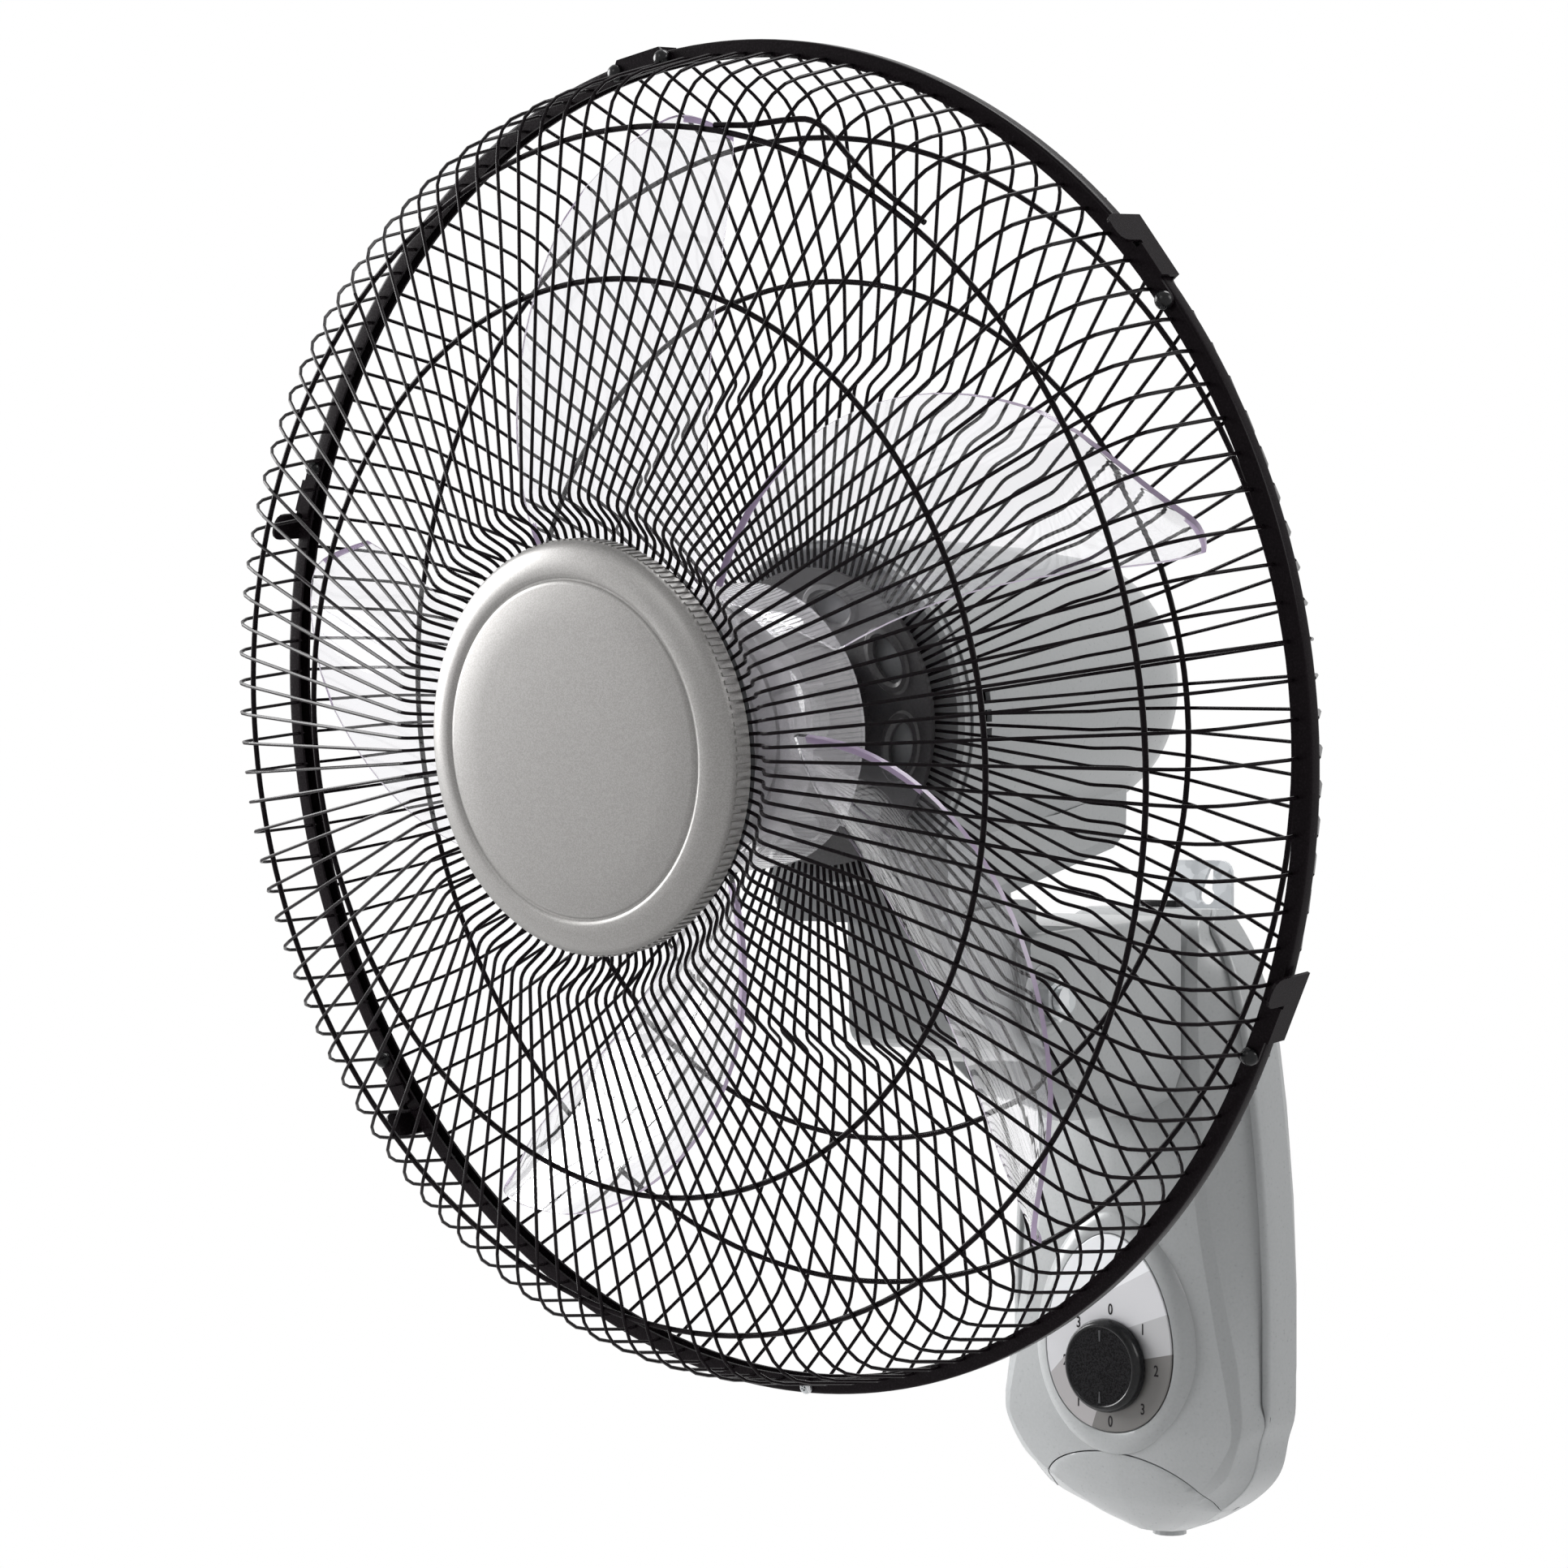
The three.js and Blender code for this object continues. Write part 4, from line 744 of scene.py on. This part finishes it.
def base_half(share):
    """From the middle of the front, over the ridges and the raised flange, to the joint."""
    width, ridge, depth = base_level(share)
    w = BASE_HALF * width
    x = BASE_HALF * ridge
    front = BASE_FRONT * depth
    edge = min(max(front + 9, FLANGE_FRONT), JOINT_Y - 4)
    groove = min(1, max(0, (share - 0.2) / 0.03))
    strip = min(3.2 + 6 * max(0, ridge - 0.6), 0.4 * (w - x))
    panel = max(x + strip + 1, w - 0.7 - 2.5 * groove)
    crown = BASE_CROWN * min(1, (edge - front) / 17)
    corners = [(0, front), (x * 0.5, front + crown * 0.2), (x - 1, front + crown),
               (x + strip, min(front + crown + 0.6 * strip, edge - 0.5)),
               (panel, edge - 0.3 + 1.8 * groove), (panel + 0.4, edge - 0.3),
               (w, edge + 0.3), (w, JOINT_Y)]
    line = rounded(corners, [200, 1.2, 1.0, 1.2, 0.4, 2.0], 3)
    # the long stretches of the line, and into how many parts each is cut
    parts = {0: 5, 1: 2, 2: 2, 3: 2, 4: 4, 8: 3, 12: 4, len(line) - 2: 3}
    fine = []
    for i, (a, b) in enumerate(zip(line, line[1:])):
        count = parts.get(i, 1)
        fine += [a.lerp(b, k / count) for k in range(count)]
    return fine + [line[-1]]


def base_rows():
    shares = [k * 0.007 for k in range(29)]
    shares += [0.2 + k * 0.008 for k in range(1, 5)]
    shares += [0.232 + (0.9 - 0.232) * k / 26 for k in range(1, 27)]
    shares += [0.9 + k * 0.01 for k in range(1, 11)]
    rows = []
    for share in shares:
        half = base_half(min(share, 1.0))
        z = BASE_BOTTOM + min(share, 1.0) * (BASE_TOP - BASE_BOTTOM)
        left = [at(-p.x, p.y, z) for p in reversed(half[1:])]
        rows.append(left + [at(p.x, p.y, z) for p in half])
    return rows


def in_oval(point):
    """Below 1 inside the lower cover's oval."""
    return (point.x / MM / LOWER_HALF) ** 2 + ((point.z / MM - LOWER_Z) / LOWER_UP) ** 2


def base_skin():
    """The housing's outer skin with flat ends; its faces on the lower cover are marked."""
    bm = bmesh.new()
    sheet(bm, base_rows())
    for z in (BASE_BOTTOM, BASE_TOP):
        ends = [e for e in bm.edges if e.is_boundary
                and all(abs(v.co.z / MM - z) < 0.01 for v in e.verts)]
        bmesh.ops.contextual_create(bm, geom=ends)
    bmesh.ops.recalc_face_normals(bm, faces=bm.faces)
    front = max(bm.faces, key=lambda f: -f.calc_center_median().y)
    if front.normal.y > 0:
        bmesh.ops.reverse_faces(bm, faces=bm.faces)
    tree = BVHTree.FromBMesh(bm)
    inside = {f for f in bm.faces if in_oval(f.calc_center_median()) < 1
              and f.calc_center_median().y < LOWER_BACK * MM}
    seam = [v for v in bm.verts if len({f in inside for f in v.link_faces}) == 2
            and v.co.y < (LOWER_BACK - 1) * MM]
    for vert in seam:
        grow = 1 / sqrt(in_oval(vert.co))
        middle = LOWER_Z * MM
        spot = Vector((vert.co.x * grow, vert.co.y, middle + (vert.co.z - middle) * grow))
        vert.co = tree.find_nearest(spot)[0]
    for face in bm.faces:
        face.material_index = int(face in inside)
    return bm


def part_of_skin(marked, pull):
    """One side of the seam, drawn back from it by the pull."""
    bm = base_skin()
    bmesh.ops.delete(bm, geom=[f for f in bm.faces if f.material_index != marked], context="FACES")
    for face in bm.faces:
        face.material_index = 0
    for vert in bm.verts:
        if vert.is_boundary and vert.co.y < (LOWER_BACK - 1) * MM and in_oval(vert.co) < 1.3:
            away = Vector((vert.co.x, 0, vert.co.z - LOWER_Z * MM)).normalized()
            vert.co += away * pull * MM
    return bm


def base_housing():
    """The housing with a hole for the knob's shaft, and the pivot's block on its front."""
    bm = part_of_skin(0, 0.2)

    def at_the_shaft(face):
        p = face.calc_center_median()
        return (abs(p.x) < SHAFT_ROOM * MM and abs(p.z - DIAL_Z * MM) < SHAFT_ROOM * MM
                and p.y < (BASE_FRONT + 3) * MM)

    bmesh.ops.delete(bm, geom=[f for f in bm.faces if at_the_shaft(f)], context="FACES")
    shell(bm, BASE_SHEET)
    nose(bm)
    return piece("base_housing", bm, GREY, "base", "base_front_housing", crease=38)


def lower_cover():
    bm = part_of_skin(1, -0.4)
    shell(bm, BASE_SHEET)
    soften(bm, 0.4, 3, 65)
    return piece("base_lower_skin", bm, GREY, "base", "base_lower_cover", crease=50)


def nose_section(y, top, side, keel, wall_only=False):
    """A section of the pivot's block, or of its right ear alone."""
    low = side * 0.45 + keel * 0.55
    if wall_only:
        middle = (EAR_IN, (top + side) / 2)
        ring = rounded([middle, (EAR_IN, top), (NOSE_HALF, top), (NOSE_HALF, side),
                        (NOSE_TAPER, low), (EAR_IN, low - 0.8), middle],
                       [0.6, 2.2, 9, 0.8, 0.4], 3)
        return [at(p.x, y, p.y) for p in ring]
    half = rounded([(0, top), (NOSE_HALF, top), (NOSE_HALF, side), (NOSE_TAPER, low),
                    (15, keel + (side - keel) * 0.12), (0, keel)], [2.2, 9, 6, 10], 3)
    left = [at(-p.x, y, p.y) for p in reversed(half[:-1])]
    return [at(p.x, y, p.y) for p in half] + left


def nose(bm):
    """The block that carries the tilt pivot: solid behind, two ears in front."""
    # sections as (y, top, side, keel)
    behind = [(-57, 117, 60, 41.5), (-70, 116.5, 60, 41.5), (-90, 115.5, 60, 41.5),
              (-99, 115, 61.6, 43.2), (-108, 114.5, 64, 46)]
    ahead = [(-107.9, 114.5, 64, 46), (-115, 114.3, 65.8, 52), (-122, 114, 68, 59.5),
             (-131, 113.6, 72, 71.5), (-140, 113.2, 74.4, 73.8), (-145, 112.8, 75.4, 74.8),
             (-147.2, 111.6, 77, 76.4), (-148, 109, 80, 79.4)]
    sheet(bm, [nose_section(*s) for s in behind])
    for side in (1, -1):
        ear = [nose_section(*s, wall_only=True) for s in ahead]
        sheet(bm, [[Vector((side * p.x, p.y, p.z)) for p in row] for row in ear])
    cap(bm)
    ring = [(9.4, 0), (12.7, 0), (12.7, 0.7), (12.2, 1.0), (9.9, 1.0), (9.4, 0.7)]
    for side in (1, -1):
        points = [at(side * (NOSE_HALF + out - 0.1), TILT_Y, TILT_Z + r) for r, out in ring]
        verts, edges = chain(bm, points, closed=True)
        full_spin(bm, verts + edges, 48, at(0, TILT_Y, TILT_Z), (1, 0, 0))


base_housing()
lower_cover()


def top_catch():
    """A black bar with a bright end."""
    bm = bmesh.new()
    block(bm, (-6.4, JOINT_Y - 7, BASE_TOP + 0.3), (10, JOINT_Y - 2, BASE_TOP + 2.9))
    dark = len(bm.faces)
    block(bm, (-10, JOINT_Y - 6.4, BASE_TOP + 0.3), (-6.6, JOINT_Y - 2.6, BASE_TOP + 2.4))
    bm.faces.ensure_lookup_table()
    for face in bm.faces[dark:]:
        face.material_index = 1
    soften(bm, 0.5, 3, 40)
    return piece("catch_bar", bm, [GLOSS, ZINC], "base", "top_catch")


top_catch()


# ------------------------------------------------------------------ dial and knob
def dial_outline(inset):
    """The dial's drop shape, clockwise from its bottom."""
    w = DIAL_HALF - inset
    top = DIAL_UP - inset
    low = -DIAL_DOWN + inset
    curves = [((0, low), (0.6 * w, low), (w, -12), (w, 6)),
              ((w, 6), (w, 26), (0.55 * w, top), (0, top))]
    steps = 18
    points = []
    for curve in curves:
        a, b, c, d = (Vector(p) for p in curve)
        for k in range(steps):
            t = k / steps
            points.append(a * (1 - t) ** 3 + b * 3 * t * (1 - t) ** 2
                          + c * 3 * t * t * (1 - t) + d * t ** 3)
    points.append(Vector((0, top)))
    return points + [Vector((-p.x, p.y)) for p in reversed(points[:-1])]


def dial_row(inset, y, share=0.0):
    """The outline at a depth, drawn a share of the way in to the shaft's hole."""
    row = []
    for p in dial_outline(inset):
        spot = p.lerp(p.normalized() * SHAFT_HOLE, share)
        row.append(at(spot.x, y, spot.y + DIAL_Z))
    return row


def dial_collar():
    """The raised border round the dial, which leans back with the base's crowned front."""
    bm = bmesh.new()
    profile = [(-0.4, -58), (-0.4, -60.9), (-0.7, -61.2), (-3.0, -61.15), (-5.4, -60.95),
               (-7.2, -60.5), (-8.3, -59.9), (-COLLAR, -59.2), (-COLLAR, -54), (-0.4, -54)]
    profile.append(profile[0])
    rows = []
    for inset, y in profile:
        row = dial_row(inset, y)
        lean = max(0, (-inset - 2) / (COLLAR - 2)) * BASE_CROWN * MM
        for p in row:
            p.y += lean * (p.x / (CROWN_HALF * MM)) ** 2
        rows.append(row)
    sheet(bm, rows)
    return piece("dial_surround", bm, GREY, "base", crease=50)


def dial():
    bm = bmesh.new()
    stations = [(0.0, -60.4, 0), (0.0, -61.2, 0), (0.35, -61.55, 0)]
    stations += [(0.35, -61.55, share) for share in (0.02, 0.3, 0.6, 1.0)]
    stations += [(0.0, -60.4, 1.0), (0.0, -60.4, 0)]
    sheet(bm, [dial_row(*s) for s in stations])
    return piece("dial_face", bm, DIAL, "base", "dial_plate", crease=30)


def numerals():
    """The speeds, twice round."""
    bm = bmesh.new()
    for k, digit in enumerate("01230123"):
        curve = bpy.data.curves.new(f"digit_{k}", "FONT")
        curve.body = digit
        curve.size = NUMBER_SIZE
        curve.offset = 0.08
        curve.align_x = "CENTER"
        curve.align_y = "CENTER"
        curve.extrude = 0.06
        obj = bpy.data.objects.new(f"digit_{k}", curve)
        mesh = bpy.data.meshes.new_from_object(obj)
        bpy.data.objects.remove(obj)
        bpy.data.curves.remove(curve)
        start = len(bm.verts)
        bm.from_mesh(mesh)
        bpy.data.meshes.remove(mesh)
        bm.verts.ensure_lookup_table()
        new = bm.verts[start:]
        low = [min(v.co[c] for v in new) for c in (0, 1)]
        high = [max(v.co[c] for v in new) for c in (0, 1)]
        middle = Vector(((low[0] + high[0]) / 2, (low[1] + high[1]) / 2, 0))
        a = radians(45 * k)
        for vert in new:
            p = vert.co - middle
            vert.co = at(1.0 + NUMBER_CIRCLE * sin(a) + p.x * NUMBER_SQUEEZE, -61.58 - p.z,
                         DIAL_Z + NUMBER_CIRCLE * cos(a) + p.y)
    return piece("dial_numbers", bm, INK, "base", crease=30)


def knob():
    """A textured face in a polished bevel, with two tapered marks."""
    bm = bmesh.new()
    profile = [(0, -67.0), (14.7, -67.0), (15.1, -67.2), (15.6, -67.15), (16.4, -66.6),
               (17.1, -65.5), (17.5, -64), (17.5, -62.3), (17.2, -61.9), (3.3, -61.9),
               (3.3, -65.7), (0, -65.7)]
    verts, edges = chain(bm, [at(r, y, DIAL_Z) for r, y in profile])
    full_spin(bm, verts + edges, 96, at(0, 0, DIAL_Z))
    bmesh.ops.remove_doubles(bm, verts=bm.verts, dist=WELD)
    for face in bm.faces:
        middle = face.calc_center_median()
        away = Vector((middle.x, middle.z - DIAL_Z * MM)).length
        face.material_index = int(middle.y > KNOB_FACE_Y * MM or away > KNOB_FACE_R * MM)
    for turned in (0, 180):
        start = len(bm.faces)
        where = (Matrix.Translation(at(0, -66.85, DIAL_Z))
                 @ Matrix.Rotation(radians(turned), 4, "Y") @ Matrix.Rotation(radians(90), 4, "X"))
        slab(bm, [(-0.2, 9.4), (0.2, 9.4), (0.45, 13.6), (-0.45, 13.6)], where, 0.3)
        bm.faces.ensure_lookup_table()
        for face in bm.faces[start:]:
            face.material_index = 2
    return piece("speed_dial_knob", bm, [SPARKLE, GLOSS, DARK], "knob", "speed_knob", crease=25)


dial_collar()
dial()
numerals()
knob()


# ------------------------------------------------------------------ motor shells
MOTOR_FRONT = [(7, -27), (11.5, -27), (11.5, -44), (54, -44), (57.5, -44.8), (59, -46.6),
               (59, -49.7), (50, -49.7), (46.5, -50.4), (11.6, -50.4), (11.6, -46.6), (7, -46.6)]
MOTOR_SHELL = [(60, -50), (60, -55), (59.9, -60), (59.6, -66), (58.8, -80), (57.6, -95),
               (56.2, -112), (54.2, -130), (52, -150), (50, -167), (48, -180), (45.2, -188),
               (41, -194.5), (35, -199.6), (27, -202.9), (16, -204.6), (0.5, -205)]
MOTOR_SHEET = 2.0
OPENING_HALF = 32
OPENING_FROM, OPENING_TO = 62, 167
VENT_ANGLES = (86, 92, 98)
VENT_FROM, VENT_TO = 55, 60


def motor_front():
    bm = bmesh.new()
    turn(bm, MOTOR_FRONT, steps=120, closed=True)
    return piece("motor_face", bm, GREY, "head", "motor_front_housing", HEAD)


def motor_shell():
    """The tapering shell, open below where the lower cover closes it, with small side vents."""
    bm = bmesh.new()
    turn(bm, MOTOR_SHELL, steps=180)

    def gone(face):
        p = face.calc_center_median() / MM
        below = abs(p.x) < OPENING_HALF and OPENING_FROM < p.y < OPENING_TO and p.z < 0
        angle = degrees(atan2(abs(p.x), p.z))
        vent = VENT_FROM < p.y < VENT_TO and any(abs(angle - a) < 1.1 for a in VENT_ANGLES)
        return below or vent

    bmesh.ops.delete(bm, geom=[f for f in bm.faces if gone(f)], context="FACES")
    bmesh.ops.recalc_face_normals(bm, faces=bm.faces)
    side = max(bm.faces, key=lambda f: f.calc_center_median().x)
    if side.normal.x < 0:
        bmesh.ops.reverse_faces(bm, faces=bm.faces)
    bmesh.ops.solidify(bm, geom=all_of(bm), thickness=MOTOR_SHEET * MM)
    return piece("motor_shell", bm, GREY, "head", "motor_rear_housing", HEAD, crease=40)


motor_front()
motor_shell()


# ------------------------------------------------------------------ stage, light and camera
LENS = 85.2
CAMERA_PLACE = (0.8279, -1.1854, 0.1661)
CAMERA_HEADING = 41.37
AMBIENT = 0.09      # the world's strength for light that isn't seen or reflected
FLOOR_R = 4
FLOOR_Z = -0.42
FADE_FROM, FADE_TO = 0.7, 1.3
# name, place, the point it is aimed at, width and power
LAMPS = [
    ("left_key", (-2.15, -0.85, 0.8), (0, -0.2, 0.05), 1.5, 88),
    ("front", (-0.2, -2.3, 1.3), (0, -0.2, 0.1), 1.0, 7),
    ("right_back", (1.5, 0.3, 0.95), (0, -0.2, 0.1), 0.9, 13),
    ("back_top", (0.1, 0.5, 1.8), (0, -0.2, 0.1), 0.9, 19)]


def camera():
    data = bpy.data.cameras.new("camera")
    data.sensor_width = 36
    data.lens = LENS
    data.clip_end = 20
    obj = bpy.data.objects.new("camera", data)
    obj.location = CAMERA_PLACE
    obj.rotation_euler = Euler((radians(90), 0, radians(CAMERA_HEADING)))
    scene.collection.objects.link(obj)
    scene.camera = obj


def lamp(name, place, aim, width, power):
    data = bpy.data.lights.new(name, "AREA")
    data.shape = "DISK"
    data.size = width
    data.energy = power
    obj = bpy.data.objects.new(name, data)
    obj.location = place
    obj.rotation_euler = (Vector(aim) - Vector(place)).to_track_quat("-Z", "Y").to_euler()
    scene.collection.objects.link(obj)


def shown_white(tree):
    """1 where it is seen straight, through something clear or as a reflection, 0 otherwise."""
    path = tree.nodes.new("ShaderNodeLightPath")
    seen = path.outputs["Is Camera Ray"]
    for ray in ("Is Transmission Ray", "Is Glossy Ray"):
        seen = math_node(tree, "MAXIMUM", seen, path.outputs[ray])
    return seen


def world():
    """White where it is seen, and a dim even light on the fan."""
    data = bpy.data.worlds.new("studio")
    scene.world = data
    data.use_nodes = True
    tree = data.node_tree
    back = tree.nodes["Background"]
    back.inputs["Color"].default_value = (1, 1, 1, 1)
    scale = tree.nodes.new("ShaderNodeMapRange")
    scale.inputs["To Min"].default_value = AMBIENT
    scale.inputs["To Max"].default_value = 1.0
    tree.links.new(shown_white(tree), scale.inputs["Value"])
    tree.links.new(scale.outputs["Result"], back.inputs["Strength"])


def floor():
    """A pale disc that keeps the shadow near the fan and fades into the white further out."""
    bm = bmesh.new()
    bmesh.ops.create_circle(bm, cap_ends=True, radius=FLOOR_R, segments=96,
                            matrix=Matrix.Translation((0, 0, FLOOR_Z)))
    mesh = bpy.data.meshes.new("floor")
    bm.to_mesh(mesh)
    bm.free()
    obj = bpy.data.objects.new("floor", mesh)
    scene.collection.objects.link(obj)
    material = bpy.data.materials.new("pale_floor")
    material.use_nodes = True
    tree = material.node_tree
    shader = tree.nodes["Principled BSDF"]
    shader.inputs["Base Color"].default_value = (0.9, 0.9, 0.9, 1)
    shader.inputs["Roughness"].default_value = 0.9
    glow = tree.nodes.new("ShaderNodeEmission")
    glow.inputs["Color"].default_value = (1, 1, 1, 1)
    place = tree.nodes.new("ShaderNodeTexCoord")
    length = tree.nodes.new("ShaderNodeVectorMath")
    length.operation = "LENGTH"
    fade = tree.nodes.new("ShaderNodeMapRange")
    fade.inputs["From Min"].default_value = FADE_FROM
    fade.inputs["From Max"].default_value = FADE_TO
    mix = tree.nodes.new("ShaderNodeMixShader")
    tree.links.new(place.outputs["Object"], length.inputs[0])
    tree.links.new(length.outputs["Value"], fade.inputs["Value"])
    white = math_node(tree, "MULTIPLY", fade.outputs["Result"], shown_white(tree))
    tree.links.new(white, mix.inputs["Fac"])
    tree.links.new(shader.outputs["BSDF"], mix.inputs[1])
    tree.links.new(glow.outputs["Emission"], mix.inputs[2])
    tree.links.new(mix.outputs["Shader"], tree.nodes["Material Output"].inputs["Surface"])
    mesh.materials.append(material)


def paint_frame():
    """Gives the CAD nodes that scene.py keeps their finishes, and most of them a small radius."""
    latches = tuple(f"guard_latch_{k}" for k in range(1, len(LATCHES) + 1))
    finishes = [
        (GREY, 1.2, ("motor_lower_cover", "neck_housing", "base_back_cover")),
        (GREY, 0.6, ("cord_inlet",)),
        (ZINC, 0.5, ("tilt_bolt", "tilt_nut")),
        (ZINC, 0, ("tilt_washer_left", "tilt_washer_right", "base_screw_left", "base_screw_right",
                   "motor_shaft", "drive_pin", "oscillation_pin", "pivot_arm", "oscillation_link",
                   "switch_shaft", "front_bearing", "rear_bearing")),
        (STEEL, 0.3, ("wall_plate",)),
        (BLACK, 0.22, latches + ("guard_clip",)),
        (DARK, 0, ("speed_switch", "run_capacitor")),
        (IRON, 0, ("stator_core", "rotor_core")),
        (COPPER, 0, ("stator_winding_front", "stator_winding_rear")),
        (NYLON, 0, ("gearbox_case", "worm_gear")),
    ]
    for material, radius, nodes in finishes:
        for node in nodes:
            obj = frame["nodes"][node]
            obj.data.materials.clear()
            obj.data.materials.append(material)
            if radius:
                edge = obj.modifiers.new("soft_edges", "BEVEL")
                edge.width = radius * MM
                edge.segments = 3
                edge.limit_method = "ANGLE"
                edge.angle_limit = radians(32)
                edge.harden_normals = True


paint_frame()
camera()
world()
floor()
for values in LAMPS:
    lamp(*values)
scene.view_settings.view_transform = "Standard"
